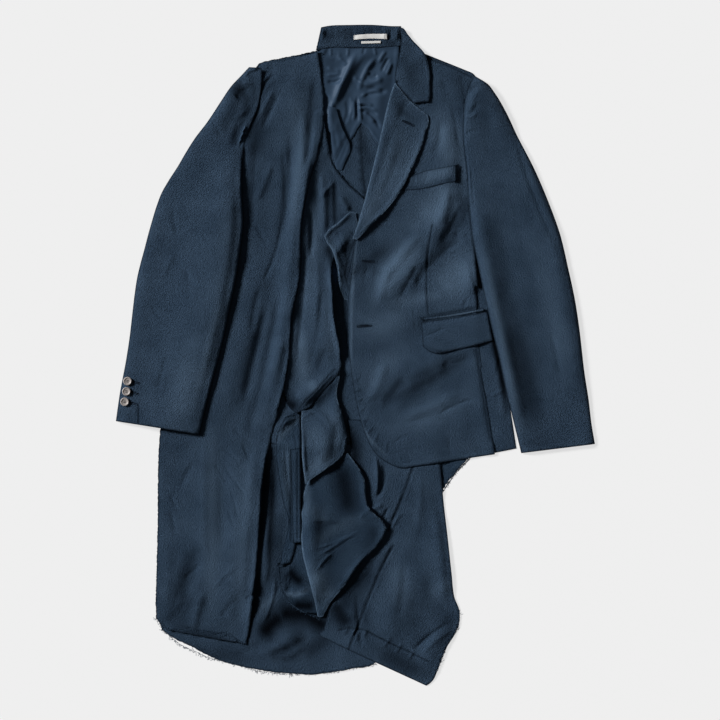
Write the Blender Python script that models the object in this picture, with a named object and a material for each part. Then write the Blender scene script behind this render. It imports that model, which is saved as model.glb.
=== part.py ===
"""A deconstructed jacket lying on its back on a flat surface.

One half is a tailored blazer front, the other a long draped coat front with raw edges.
Each panel is a closed wall of cloth laid over the panels below it, in the order of lay_jacket().
Tables are in millimetres: x to the right, y towards the collar, heights above the surface.
"""

import bpy
import numpy as np

MM = 0.001

OVERALL_WIDTH = 838.0
OVERALL_LENGTH = 1156.0
SUITING = 1.2
LINING = 1.0
COLLAR_CLOTH = 1.6
SEAM_GAP = 0.5
LAYER_GAP = 0.8
TAG_GAP = 0.45
SLEEVE_INSET = 7.0

# The height map of the pile is kept on a square grid of this spacing.
GRID_CELL = 2.0
GRID_MARGIN = 30.0
CLEAR_CELLS = 1
SMOOTHING_CELLS = 5

# Folds fade over this share of their length at each end, and are followed at so many points.
FOLD_FADE = 0.22
CURVE_POINTS = 49
# A point is on a fold's left where it lies left of a line that leans this much from upright.
SIDE_SLANT = 0.3

# Laying a panel on the pile: most rounds of lifting, the height that may still lack after them,
# and the least upright share of a steep wall.
LIFTING_ROUNDS = 300
HEIGHT_TOLERANCE = 0.02
STEEPEST_UPRIGHT = 0.5

BUTTON_RADIUS = 7.5
BUTTON_SIDES = 14
BUTTON_CENTRES = ((-398.0, -45.0), (-400.0, -63.0), (-403.0, -81.0))
# The button's profile from its centre outwards: radius as a share, height in millimetres.
BUTTON_PROFILE = (
    ("back centre", 0.00, 0.0),
    ("back edge", 0.85, 0.0),
    ("side low", 1.00, 0.9),
    ("side high", 1.00, 2.0),
    ("rim", 0.86, 2.9),
    ("rim inside", 0.68, 2.7),
    ("dish edge", 0.55, 1.8),
    ("dish centre", 0.00, 1.8),
)

# Each row of a section table: name, left x, left y, right x, right y.
BACK_LEFT = (
    ("neck", -69, 531, 11, 529),
    ("shoulder slope", -120, 517, 11, 512),
    ("shoulder points", -170, 504, 11, 482),
    ("armhole", -176, 430, 11, 432),
    ("chest", -195, 360, 12, 352),
    ("underarm", -209, 281, 20, 270),
    ("above waist", -246, 167, 27, 165),
    ("waist", -290, 44, 28, 40),
    ("hip", -328, -69, 29, -69),
    ("skirt seam", -343, -153, 30, -153),
)
BACK_RIGHT = (
    ("neck", 11, 529, 116, 526),
    ("shoulder slope", 11, 512, 163, 508),
    ("shoulder points", 11, 482, 210, 476),
    ("armhole", 11, 432, 192, 438),
    ("chest", 12, 352, 192, 342),
    ("underarm", 20, 270, 198, 263),
    ("above waist", 27, 165, 226, 164),
    ("waist", 28, 40, 240, 36),
    ("hip", 29, -69, 260, -69),
    ("hem", 30, -153, 268, -150),
)
BACK_SKIRT = (
    ("skirt seam", -343, -153, 100, -153),
    ("thigh", -345, -215, 112, -213),
    ("upper skirt", -346, -288, 110, -288),
    ("skirt", -347, -358, 95, -372),
    ("low skirt", -347, -430, 76, -446),
    ("hem side", -338, -481, 52, -505),
    ("hem turn", -290, -508, 32, -540),
    ("hem", -232, -536, 0, -547),
    ("hem low", -186, -547, -36, -554),
    ("hem bottom", -146, -554, -76, -559),
)
COLLAR_BACK = (
    ("left end", -68, 522, -58, 571),
    ("left", -44, 521, -42, 573),
    ("centre left", -12, 521, -12, 574),
    ("centre right", 38, 521, 38, 574),
    ("shoulder", 74, 520, 76, 570),
    ("right end", 112, 516, 100, 545),
)
BACK_LINING = (
    ("left", -68, 536, -60, 412),
    ("left middle", -48, 537, -46, 392),
    ("side of tab", -27, 538, -28, 377),
    ("corner", -11, 538, -11, 374),
    ("arch left", -1, 538, 1, 393),
    ("arch top", 10, 538, 10, 407),
    ("arch right", 22, 538, 22, 396),
    ("right hem", 34, 538, 34, 376),
    ("right", 52, 538, 52, 361),
    ("right end", 76, 538, 66, 352),
)
LINING_TAB = (
    ("top", -48, 436, -34, 433),
    ("upper", -45, 406, -24, 399),
    ("widest", -43, 384, -11, 372),
    ("corner", -41, 362, -9, 360),
    ("lower", -38, 344, -16, 343),
    ("point", -33, 325, -24, 324),
)
COLLAR_STAND = (
    ("left end", -69, 533, -60, 574),
    ("left", -44, 538, -43, 577),
    ("centre left", -10, 538, -10, 578),
    ("centre right", 34, 538, 34, 578),
    ("right", 64, 540, 64, 576),
    ("right end", 80, 541, 80, 576),
)
NECK_LABEL = (
    ("left", -3, 552, -3, 560),
    ("centre", 26, 554, 26, 562),
    ("right", 55, 553, 55, 562),
)
SIZE_TAG = (
    ("left", 10, 545, 10, 549),
    ("right", 44, 546, 44, 550),
)
SIDE_RIGHT = (
    ("underarm", 186, 263, 208, 263),
    ("waist top", 194, 176, 214, 176),
    ("waist", 198, 127, 220, 127),
    ("above pocket", 201, 97, 236, 97),
    ("hip", 206, 18, 258, 18),
    ("skirt", 216, -78, 269, -78),
    ("skirt low", 224, -122, 276, -124),
    ("hem", 232, -173, 282, -163),
)
TAIL = (
    ("top", -14, -112, 138, -116),
    ("blazer hem", -8, -166, 146, -172),
    ("under hem", -6, -200, 149, -197),
    ("seam", -4, -253, 154, -253),
    ("pucker", -10, -323, 162, -323),
    ("middle", -27, -386, 169, -388),
    ("lower", -38, -424, 173, -422),
    ("corner", -48, -452, 182, -447),
    ("below corner", -52, -468, 180, -474),
    ("band", -56, -480, 160, -510),
    ("hem", -62, -490, 136, -568),
    ("hem edge", -26, -509, 124, -578),
)
BACK_REMNANT = (
    ("under the blazer", 110, -158, 214, -166),
    ("upper", 112, -188, 190, -188),
    ("middle", 114, -206, 175, -206),
    ("lower", 115, -224, 160, -224),
    ("end", 116, -241, 150, -241),
)
TURNED_EDGE = (
    ("top", -108, -328, -78, -330),
    ("upper", -112, -358, -74, -358),
    ("hollow", -118, -385, -70, -386),
    ("roll", -124, -412, -64, -410),
    ("lower", -112, -436, -60, -436),
    ("tip", -92, -450, -58, -452),
)
TURNED_PANEL = (
    ("seam", -84, -222, -14, -170),
    ("top", -90, -240, 14, -210),
    ("upper", -94, -270, 22, -262),
    ("pucker", -95, -306, 54, -302),
    ("widest", -93, -340, 40, -330),
    ("lower", -86, -372, 8, -363),
    ("narrow", -77, -407, -20, -403),
    ("near tip", -70, -436, -44, -433),
    ("tip", -66, -457, -57, -457),
)
INNER_FLAP = (
    ("top", -123, -108, -98, -96),
    ("roll", -137, -140, -96, -140),
    ("upper", -139, -165, -96, -165),
    ("middle", -132, -224, -96, -224),
    ("waisted", -125, -262, -96, -262),
    ("narrow", -117, -286, -97, -288),
    ("step", -121, -316, -103, -320),
    ("lower", -128, -342, -108, -344),
    ("end", -132, -368, -114, -362),
)
PLACKET_STRIP = (
    ("top", -114, -164, -97, -162),
    ("upper", -112, -218, -96, -216),
    ("lower", -111, -270, -96, -268),
    ("end", -109, -328, -95, -326),
)
POUCH = (
    ("under seam", -97, -74, -25, -26),
    ("shoulder", -94, -96, -20, -64),
    ("bulge top", -95, -113, -21, -104),
    ("bulge", -94, -139, -25, -143),
    ("bulge low", -93, -180, -32, -178),
    ("lower seam", -88, -224, -60, -204),
)
FRONT_LEFT = (
    ("shoulder seam", -164, 513, -66, 533),
    ("shoulder point", -178, 500, -63, 511),
    ("front neck", -171, 473, -60, 488),
    ("upper chest", -178, 426, -56, 438),
    ("pleat start", -197, 368, -58, 387),
    ("chest", -206, 316, -72, 316),
    ("underarm", -209, 272, -78, 263),
    ("above waist", -246, 167, -88, 167),
    ("waist", -290, 44, -104, 44),
    ("hip", -328, -69, -129, -69),
    ("seat", -343, -134, -152, -139),
    ("thigh", -347, -200, -168, -209),
    ("middle skirt", -348, -288, -174, -288),
    ("low skirt", -349, -376, -177, -376),
    ("above hem", -350, -430, -182, -437),
    ("hem corner", -349, -460, -187, -478),
    ("hem", -330, -480, -192, -505),
)
FRONT_MID = (
    ("tip", -66, 424, -56, 424),
    ("neck edge", -70, 391, -50, 380),
    ("neck edge low", -75, 351, -39, 333),
    ("crossing", -82, 307, -6, 293),
    ("under lapel", -87, 263, 27, 258),
    ("facing", -91, 216, -10, 209),
    ("break", -96, 170, -38, 164),
    ("waist", -103, 114, -38, 111),
    ("hip", -112, 44, -34, 44),
    ("seat", -120, -12, -28, -4),
    ("seam right", -127, -62, -31, -31),
    ("seam middle", -118, -88, -56, -60),
    ("seam left", -104, -101, -84, -92),
)
FACING_TAB = (
    ("top", -10, 251, 0, 250),
    ("upper", -32, 231, 6, 222),
    ("point", -55, 209, 12, 200),
    ("break", -41, 184, 14, 176),
    ("middle", -32, 153, 12, 146),
    ("lower", -27, 116, 6, 114),
    ("end", -19, 97, 2, 94),
)
FRONT_RIGHT = (
    ("shoulder seam", 118, 529, 203, 495),
    ("shoulder point", 98, 514, 218, 476),
    ("collar", 80, 492, 198, 450),
    ("gorge", 68, 450, 188, 408),
    ("upper chest", 56, 398, 190, 360),
    ("chest", 41, 342, 194, 316),
    ("pocket", 29, 290, 195, 267),
    ("under pocket", 16, 246, 200, 216),
    ("break", 0, 202, 204, 176),
    ("button", -6, 153, 208, 128),
    ("waist", -13, 97, 211, 80),
    ("hip", -14, 36, 214, 24),
    ("below flap", -9, -17, 220, -26),
    ("skirt", 2, -86, 229, -80),
    ("skirt low", 17, -138, 236, -122),
    ("round top", 32, -168, 239, -143),
    ("round", 54, -187, 242, -160),
    ("hem", 84, -197, 244, -173),
)
BREAST_WELT = (
    ("left", 94, 312, 82, 288),
    ("middle left", 122, 323, 116, 291),
    ("middle", 148, 328, 146, 298),
    ("right", 181, 334, 181, 306),
)
POCKET_JET = (
    ("front", 113, 66, 114, 61),
    ("middle", 170, 73.5, 171, 68.5),
    ("back", 224, 83, 224, 78),
)
POCKET_FLAP = (
    ("front", 115, 58, 118, 15),
    ("front round", 125, 60, 131, 6),
    ("middle", 174, 67, 180, 11),
    ("back", 230, 77, 240, 26),
)
LAPEL = (
    ("gorge", 69, 477, 101, 437),
    ("point", 61, 456, 127, 419),
    ("below point", 52, 421, 124, 394),
    ("upper", 43, 380, 113, 358),
    ("middle", 33, 338, 97, 322),
    ("lower", 22, 295, 74, 280),
    ("belly", 13, 260, 50, 250),
    ("near break", 5, 234, 28, 228),
    ("break", -5, 204, 3, 202),
)
COLLAR_FALL = (
    ("top", 76, 575, 83, 572),
    ("side", 80, 556, 101, 550),
    ("shoulder", 78, 534, 122, 526),
    ("leaf", 74, 514, 129, 502),
    ("leaf low", 70, 494, 131, 476),
    ("leaf point", 70, 479, 130, 450),
    ("notch", 101, 441, 120, 443),
)
SLEEVE_RIGHT = (
    ("cap top", 208, 489, 229, 476),
    ("cap", 196, 467, 244, 458),
    ("cap low", 190, 442, 256, 439),
    ("armhole", 188, 412, 269, 414),
    ("armhole middle", 188, 377, 283, 384),
    ("armhole low", 194, 324, 311, 330),
    ("underarm", 197, 272, 339, 265),
    ("bicep", 202, 220, 358, 212),
    ("above elbow", 213, 164, 372, 153),
    ("elbow", 225, 106, 384, 97),
    ("below elbow", 239, 44, 393, 36),
    ("forearm", 253, -12, 400, -26),
    ("forearm low", 265, -69, 408, -78),
    ("above cuff", 278, -122, 413, -120),
    ("cuff", 290, -171, 419, -155),
)
SLEEVE_LEFT = (
    ("cap top", -186, 504, -164, 502),
    ("cap", -200, 489, -164, 484),
    ("cap middle", -217, 471, -166, 461),
    ("cap low", -234, 446, -172, 433),
    ("armhole", -258, 410, -184, 405),
    ("armhole middle", -284, 376, -195, 377),
    ("armhole low", -312, 330, -200, 333),
    ("underarm", -340, 284, -202, 281),
    ("bicep", -356, 237, -200, 234),
    ("above elbow", -370, 184, -204, 184),
    ("elbow", -382, 136, -211, 132),
    ("below elbow", -389, 86, -223, 83),
    ("forearm", -395, 34, -237, 27),
    ("forearm low", -402, -12, -249, -26),
    ("above cuff", -412, -66, -260, -82),
    ("cuff", -419, -115, -272, -138),
)

# Each row of a fold table: name, start x, start y, middle x, middle y, end x, end y,
# half width on its left, half width on its right, height (below zero for a trough).
NO_FOLDS = ()
BACK_SKIRT_FOLDS = (
    ("rib beside the gap", -148, -262, -151, -344, -156, -414, 9, 8, 8),
    ("swirl leaf", -137, -410, -156, -449, -183, -516, 9, 10, 9),
    ("swirl belly", -178, -516, -128, -502, -99, -458, 11, 11, 9),
    ("hem wave", -60, -519, -20, -531, 18, -540, 16, 16, 3),
    ("left hem wave", -300, -460, -260, -480, -230, -521, 18, 18, 3),
)
BACK_LINING_FOLDS = (
    ("big ridge", 29, 534, -11, 492, -43, 424, 8, 8, 9),
    ("ridge foot", -43, 430, -39, 405, -15, 366, 7, 7, 5),
    ("centre pleat", 6, 470, 8, 440, 12, 408, 6, 6, 4),
    ("right ridge", 60, 520, 40, 450, 40, 386, 9, 9, 5),
    ("left gather", -57, 520, -53, 480, -57, 430, 7, 7, 3),
)
LINING_TAB_FOLDS = (
    ("tab ridge", -39, 424, -36, 380, -30, 335, 7, 7, 3),
)
COLLAR_STAND_FOLDS = (
    ("gather 1", -57, 540, -55, 556, -53, 575, 5, 5, 1.8),
    ("gather 2", -36, 540, -36, 556, -36, 575, 5, 5, 1.6),
    ("gather 3", -16, 540, -16, 552, -16, 566, 5, 5, 1.4),
    ("gather 4", 62, 542, 60, 557, 60, 575, 5, 5, 1.8),
)
TAIL_FOLDS = (
    ("edge under the blazer", 32, -169, 36, -225, 31, -258, 7, 8, 6),
    ("pucker at the seam", 12, -288, 36, -272, 62, -265, 11, 11, 7),
    ("fold of the skirt", 115, -358, 108, -438, 96, -516, 55, 9, 7),
    ("right ridge", 141, -270, 148, -368, 169, -428, 30, 12, 5),
    ("corner turn", 164, -474, 136, -510, 120, -566, 14, 14, 5),
    ("left ridge", -6, -428, 1, -472, 8, -524, 10, 12, 5),
)
TURNED_EDGE_FOLDS = (
    ("crescent", -122, -416, -100, -419, -76, -404, 7, 7, 6),
)
TURNED_PANEL_FOLDS = (
    ("rolled edge", -81, -253, -85, -332, -62, -446, 7, 44, 17),
    ("crease", -58, -358, -29, -334, 8, -304, 7, 9, 5),
)
INNER_FLAP_FOLDS = (
    ("rolled head", -134, -146, -122, -111, -102, -101, 8, 8, 7),
    ("outer edge", -132, -160, -125, -223, -113, -290, 9, 8, 5),
)
POUCH_FOLDS = (
    ("left edge", -86, -122, -88, -169, -83, -218, 7, 9, 3),
    ("belly", -43, -92, -46, -148, -66, -197, 42, 11, 12),
    ("top hollow", -88, -92, -66, -83, -38, -83, 12, 12, -6),
)
FRONT_LEFT_FOLDS = (
    ("pleat", -81, 398, -108, 164, -150, -127, 13, 7, 15),
    ("waist ridge", -164, 164, -190, 44, -234, -148, 60, 17, 7),
    ("rolled edge", -164, -148, -188, -306, -197, -472, 26, 8, 13),
    ("shoulder slope", -111, 506, -104, 468, -97, 412, 26, 12, 4),
    ("skirt ridge", -240, -200, -262, -323, -272, -454, 40, 22, 3),
)
FRONT_MID_FOLDS = (
    ("neck tuck", -34, 310, -44, 296, -60, 270, 8, 8, 5),
    ("bulge at the lapel", -34, 288, -15, 262, -6, 235, 9, 8, 7),
    ("free edge", -52, 141, -46, 66, -39, -12, 34, 8, 10),
    ("soft side", -66, 220, -72, 114, -86, 10, 16, 16, 3),
)
FACING_TAB_FOLDS = (
    ("tab ridge", -30, 221, -27, 170, -20, 113, 9, 9, 4),
)
FRONT_RIGHT_FOLDS = (
    ("belly ridge", 36, 76, 104, 164, 181, 262, 22, 13, 9),
    ("hip ridge", 36, -88, 110, -45, 181, 10, 34, 12, 7),
    ("chest ridge", 160, 426, 169, 342, 167, 262, 32, 8, 6),
    ("low ridge", 113, -169, 158, -141, 208, -96, 24, 18, 2.5),
)
LAPEL_FOLDS = (
    ("roll", 66, 456, 40, 340, 4, 220, 9, 12, 3),
)
COLLAR_FALL_FOLDS = (
    ("roll", 82, 566, 83, 520, 78, 486, 9, 14, 3),
)
SLEEVE_RIGHT_FOLDS = (
    ("inner ridge", 214, 279, 234, 111, 295, -134, 9, 22, 8),
    ("cap ridge", 225, 468, 239, 430, 267, 377, 14, 20, 7),
    ("outer ridge", 351, 272, 381, 97, 400, -113, 30, 14, 3),
)
SLEEVE_LEFT_FOLDS = (
    ("inner edge", -214, 360, -226, 132, -265, -92, 60, 9, 8),
    ("cap ridge", -209, 475, -226, 436, -251, 391, 16, 16, 7),
)

# Colours as sRGB shares of 255.
COLOURS = {
    "suiting": (43, 58, 76),
    "lining": (34, 47, 64),
    "label": (226, 226, 222),
    "button": (40, 40, 44),
}


def remove_scene_objects():
    for item in list(bpy.data.objects):
        bpy.data.objects.remove(item, do_unlink=True)


def smooth_sections(rows, pitch):
    """Edge points of every section, with smooth ones between them about one pitch apart."""
    ends = np.array([row[1:5] for row in rows], dtype=float)
    steps = np.diff(ends, axis=0)
    spans = np.maximum(np.hypot(steps[:, 0], steps[:, 1]), np.hypot(steps[:, 2], steps[:, 3]))
    knots = np.concatenate(([0.0], np.cumsum(spans)))
    tangents = np.gradient(ends, knots, axis=0)
    lines = []
    for index, span in enumerate(spans):
        pieces = max(1, int(round(span / pitch)))
        for piece in range(pieces):
            t = piece / pieces
            start = (1 + 2 * t) * (1 - t) ** 2 * ends[index] + t * (1 - t) ** 2 * span * tangents[index]
            finish = t * t * (3 - 2 * t) * ends[index + 1] + t * t * (t - 1) * span * tangents[index + 1]
            lines.append(start + finish)
    lines.append(ends[-1])
    return np.array(lines)


def lattice(rows, columns, pitch, edge_crowding):
    """Points of a panel seen from above: a row of points across each section."""
    lines = smooth_sections(rows, pitch)
    even = np.linspace(0.0, 1.0, columns + 1)
    across = even - edge_crowding * np.sin(2 * np.pi * even) / (2 * np.pi)
    left = lines[:, None, 0:2]
    right = lines[:, None, 2:4]
    return left + (right - left) * across[None, :, None]


def inset_sections(rows, inset, end_inset):
    """The same sections pulled in from both side edges, the first and last also along the piece."""
    pulled = []
    for index, (name, left_x, left_y, right_x, right_y) in enumerate(rows):
        left = np.array((left_x, left_y), dtype=float)
        right = np.array((right_x, right_y), dtype=float)
        length = np.linalg.norm(right - left)
        share = min(inset / length, 0.35)
        along = 0.0
        if index == 0:
            along = -end_inset
        if index == len(rows) - 1:
            along = end_inset
        start = left + (right - left) * share
        finish = right + (left - right) * share
        pulled.append((name, start[0], start[1] + along, finish[0], finish[1] + along))
    return tuple(pulled)


def fold_height(points, fold):
    """Height that one fold adds at each point: a bell across its curve, fading at both ends."""
    _, x0, y0, x1, y1, x2, y2, left_width, right_width, height = fold
    start = np.array((x0, y0), dtype=float)
    finish = np.array((x2, y2), dtype=float)
    bend = 2 * np.array((x1, y1), dtype=float) - 0.5 * (start + finish)
    t = np.linspace(0.0, 1.0, CURVE_POINTS)[:, None]
    curve = (1 - t) ** 2 * start + 2 * t * (1 - t) * bend + t ** 2 * finish
    offsets = points.reshape(-1, 2)[:, None, :] - curve[None, :, :]
    gaps = np.linalg.norm(offsets, axis=2)
    nearest = gaps.argmin(axis=1)
    distance = gaps.min(axis=1)
    offset = offsets[np.arange(len(nearest)), nearest]
    on_left = offset[:, 0] < SIDE_SLANT * offset[:, 1]
    width = np.where(on_left, left_width, right_width)
    along = t[nearest, 0]
    fade_in = np.clip(along / FOLD_FADE, 0.0, 1.0)
    fade_out = np.clip((1.0 - along) / FOLD_FADE, 0.0, 1.0)
    fade = fade_in ** 2 * (3 - 2 * fade_in) * fade_out ** 2 * (3 - 2 * fade_out)
    return (height * fade * np.exp(-(distance / width) ** 2)).reshape(points.shape[:2])


def edge_rounding(points, radius, sides):
    """Share of the full height near the named sides, a quarter round of the given radius."""
    share = np.ones(points.shape[:2])
    left = np.linalg.norm(points - points[:, :1], axis=2)
    right = np.linalg.norm(points - points[:, -1:], axis=2)
    start = np.linalg.norm(points - points[:1], axis=2)
    finish = np.linalg.norm(points - points[-1:], axis=2)
    distances = {"left": left, "right": right, "start": start, "end": finish}
    for side in sides:
        reach = np.clip(distances[side] / radius, 0.0, 1.0)
        share = share * np.sqrt(1.0 - (1.0 - reach) ** 2)
    return share


class Pile:
    """Height of what has been laid so far, on a square grid seen from above."""

    def __init__(self):
        self.origin = np.array((-OVERALL_WIDTH / 2 - GRID_MARGIN, -OVERALL_LENGTH / 2 - GRID_MARGIN))
        size_x = int((OVERALL_WIDTH + 2 * GRID_MARGIN) / GRID_CELL) + 1
        size_y = int((OVERALL_LENGTH + 2 * GRID_MARGIN) / GRID_CELL) + 1
        self.height = np.zeros((size_y, size_x))

    def cell_of(self, points):
        places = np.rint((points - self.origin) / GRID_CELL).astype(int)
        return places[..., 1], places[..., 0]

    def needed(self, gap):
        """Lowest height that clears the pile, a few cells around it as well."""
        padded = np.pad(self.height, CLEAR_CELLS)
        tall, wide = self.height.shape
        highest = self.height.copy()
        for down in range(2 * CLEAR_CELLS + 1):
            for over in range(2 * CLEAR_CELLS + 1):
                highest = np.maximum(highest, padded[down:down + tall, over:over + wide])
        return np.where(highest > 0.0, highest + gap, 0.0)

    def triangle_cells(self, corners):
        """Grid cells whose centres lie in a triangle, with their weights on its corners."""
        low = np.floor((corners.min(axis=0) - self.origin) / GRID_CELL).astype(int)
        high = np.ceil((corners.max(axis=0) - self.origin) / GRID_CELL).astype(int)
        columns, rows = np.meshgrid(np.arange(low[0], high[0] + 1), np.arange(low[1], high[1] + 1))
        columns = columns.ravel()
        rows = rows.ravel()
        centres = np.stack((columns, rows), axis=1) * GRID_CELL + self.origin
        edge_one = corners[1] - corners[0]
        edge_two = corners[2] - corners[0]
        area = edge_one[0] * edge_two[1] - edge_one[1] * edge_two[0]
        if abs(area) < 1e-9:
            return rows[:0], columns[:0], np.zeros((0, 3))
        offset = centres - corners[0]
        second = (offset[:, 0] * edge_two[1] - offset[:, 1] * edge_two[0]) / area
        third = (edge_one[0] * offset[:, 1] - edge_one[1] * offset[:, 0]) / area
        weights = np.stack((1.0 - second - third, second, third), axis=1)
        inside = (weights >= -1e-6).all(axis=1)
        return rows[inside], columns[inside], weights[inside]


def lattice_triangles(line_count, column_count):
    """Corner numbers of the two triangles in every cell of a lattice, facing up."""
    triangles = []
    for line in range(line_count - 1):
        for column in range(column_count - 1):
            a = line * column_count + column
            b = a + 1
            c = a + column_count
            d = c + 1
            if (line + column) % 2 == 0:
                triangles += [(a, c, d), (a, d, b)]
            else:
                triangles += [(a, c, b), (b, c, d)]
    return np.array(triangles)


def blur(field, passes):
    """Repeated three-cell averages, which spread a step softly."""
    for _ in range(passes):
        padded = np.pad(field, 1, mode="edge")
        field = (padded[:-2, 1:-1] + padded[2:, 1:-1] + 2 * padded[1:-1, 1:-1]) / 4
        padded = np.pad(field, 1, mode="edge")
        field = (padded[1:-1, :-2] + padded[1:-1, 2:] + 2 * padded[1:-1, 1:-1]) / 4
    return field


def rest_on(pile, points, triangles, wanted, rounding, gap):
    """Underside heights: the wanted ones above the pile, raised where the pile is in the way."""
    flat = points.reshape(-1, 2)
    needed = pile.needed(gap)
    softened = blur(needed, SMOOTHING_CELLS ** 2)
    rows, columns = pile.cell_of(flat)
    base = np.maximum(needed[rows, columns], softened[rows, columns] * rounding.ravel())
    heights = base + wanted.ravel()
    cell_rows = [rows]
    cell_columns = [columns]
    corners = [np.repeat(np.arange(len(flat))[:, None], 3, axis=1)]
    weights = [np.tile((1.0, 0.0, 0.0), (len(flat), 1))]
    for triangle in triangles:
        found_rows, found_columns, found_weights = pile.triangle_cells(flat[triangle])
        cell_rows.append(found_rows)
        cell_columns.append(found_columns)
        corners.append(np.repeat(triangle[None, :], len(found_rows), axis=0))
        weights.append(found_weights)
    floor = needed[np.concatenate(cell_rows), np.concatenate(cell_columns)]
    corners = np.concatenate(corners)
    weights = np.concatenate(weights)
    strength = (weights ** 2).sum(axis=1)
    heights = np.maximum(heights, 0.0)
    for _ in range(LIFTING_ROUNDS):
        lacking = floor - (heights[corners] * weights).sum(axis=1)
        if lacking.max() < HEIGHT_TOLERANCE:
            break
        push = np.clip(lacking, 0.0, None)[:, None] * weights / strength[:, None]
        lift = np.zeros(len(flat))
        np.maximum.at(lift, corners.ravel(), push.ravel())
        heights = heights + lift
    lacking = np.clip(floor - (heights[corners] * weights).sum(axis=1), 0.0, None)
    lift = np.zeros(len(flat))
    np.maximum.at(lift, corners.ravel(), np.repeat(lacking, 3))
    heights = heights + lift
    spare = ((heights[corners] * weights).sum(axis=1) - floor).min()
    return (heights - max(spare, 0.0)).reshape(points.shape[:2])


def upright_thickness(points, heights, wall):
    """Thickness measured straight up, larger on slopes so that the wall keeps its own."""
    surface = np.dstack((points, heights))
    along = np.gradient(surface, axis=0)
    across = np.gradient(surface, axis=1)
    normals = np.cross(along, across)
    lengths = np.linalg.norm(normals, axis=2)
    upright = np.abs(normals[:, :, 2]) / np.maximum(lengths, 1e-9)
    return wall / np.clip(upright, STEEPEST_UPRIGHT, 1.0)


def boundary_loop(line_count, column_count):
    """Lattice numbers round the edge of a panel."""
    numbers = np.arange(line_count * column_count).reshape(line_count, column_count)
    first = list(numbers[0])
    right = list(numbers[1:, -1])
    last = list(numbers[-1, :-1][::-1])
    left = list(numbers[1:-1, 0][::-1])
    return first + right + last + left


def make_panel(pile, rows, folds, wall=SUITING, columns=6, pitch=24.0, loft=0.0,
               round_sides=(), round_radius=12.0, crowding=0.35, gap=LAYER_GAP):
    """Closed wall of cloth over the pile: its vertices, faces and what it adds to the pile."""
    points = lattice(rows, columns, pitch, crowding)
    line_count, column_count = points.shape[:2]
    triangles = lattice_triangles(line_count, column_count)
    rounding = edge_rounding(points, round_radius, round_sides)
    wanted = np.full(points.shape[:2], float(loft))
    for fold in folds:
        wanted = wanted + fold_height(points, fold)
    wanted = np.clip(wanted, 0.0, None) * rounding
    under = rest_on(pile, points, triangles, wanted, rounding, gap)
    over = under + upright_thickness(points, under, wall)
    count = line_count * column_count
    low = np.column_stack((points.reshape(-1, 2), under.ravel()))
    high = np.column_stack((points.reshape(-1, 2), over.ravel()))
    first = points[0, -1] - points[0, 0]
    along = points[-1, 0] - points[0, 0]
    loop = boundary_loop(line_count, column_count)
    if first[0] * along[1] - first[1] * along[0] > 0:
        triangles = triangles[:, ::-1]
    else:
        loop = loop[::-1]
    faces = [tuple(int(v) + count for v in triangle) for triangle in triangles]
    faces += [tuple(int(v) for v in triangle) for triangle in triangles[:, ::-1]]
    for here, there in zip(loop, loop[1:] + loop[:1]):
        faces.append((int(here), int(there), int(there) + count, int(here) + count))
    return np.vstack((low, high)), faces, (high, triangles)


def add_to_pile(pile, top):
    vertices, triangles = top
    for triangle in triangles:
        corners = vertices[triangle]
        rows, columns, weights = pile.triangle_cells(corners[:, :2])
        values = weights @ corners[:, 2]
        np.maximum.at(pile.height, (rows, columns), values)


def cloth_material(name):
    material = bpy.data.materials.new(name)
    material.use_nodes = True
    shader = material.node_tree.nodes["Principled BSDF"]
    red, green, blue = ((share / 255.0) ** 2.2 for share in COLOURS[name])
    shader.inputs["Base Color"].default_value = (red, green, blue, 1.0)
    shader.inputs["Roughness"].default_value = 0.4 if name == "button" else 0.8
    return material


def add_object(name, vertices, faces, material):
    mesh = bpy.data.meshes.new(name)
    mesh.from_pydata([tuple(v) for v in vertices * MM], [], faces)
    mesh.validate()
    mesh.materials.append(material)
    item = bpy.data.objects.new(name, mesh)
    bpy.context.scene.collection.objects.link(item)


def make_button(pile, centre):
    """A turned disc with a dished face, flat on the cloth under it."""
    spot = np.array(centre)
    turns = 2 * np.pi * np.arange(BUTTON_SIDES) / BUTTON_SIDES
    around = np.stack((np.cos(turns), np.sin(turns)), axis=1)
    footprint = spot + around * BUTTON_RADIUS
    rows, columns = pile.cell_of(np.vstack((footprint, spot)))
    level = pile.height[rows, columns].max() + LAYER_GAP
    vertices = []
    faces = []
    for _, share, height in BUTTON_PROFILE[1:-1]:
        for direction in around:
            place = spot + direction * BUTTON_RADIUS * share
            vertices.append((place[0], place[1], level + height))
    vertices.append((spot[0], spot[1], level + BUTTON_PROFILE[0][2]))
    vertices.append((spot[0], spot[1], level + BUTTON_PROFILE[-1][2]))
    ring_count = len(BUTTON_PROFILE) - 2
    bottom = ring_count * BUTTON_SIDES
    top = bottom + 1
    for side in range(BUTTON_SIDES):
        after = (side + 1) % BUTTON_SIDES
        faces.append((bottom, after, side))
        for ring in range(ring_count - 1):
            low = ring * BUTTON_SIDES
            high = low + BUTTON_SIDES
            faces.append((low + side, low + after, high + after, high + side))
        last = (ring_count - 1) * BUTTON_SIDES
        faces.append((last + side, last + after, top))
    return np.array(vertices), faces


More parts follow.
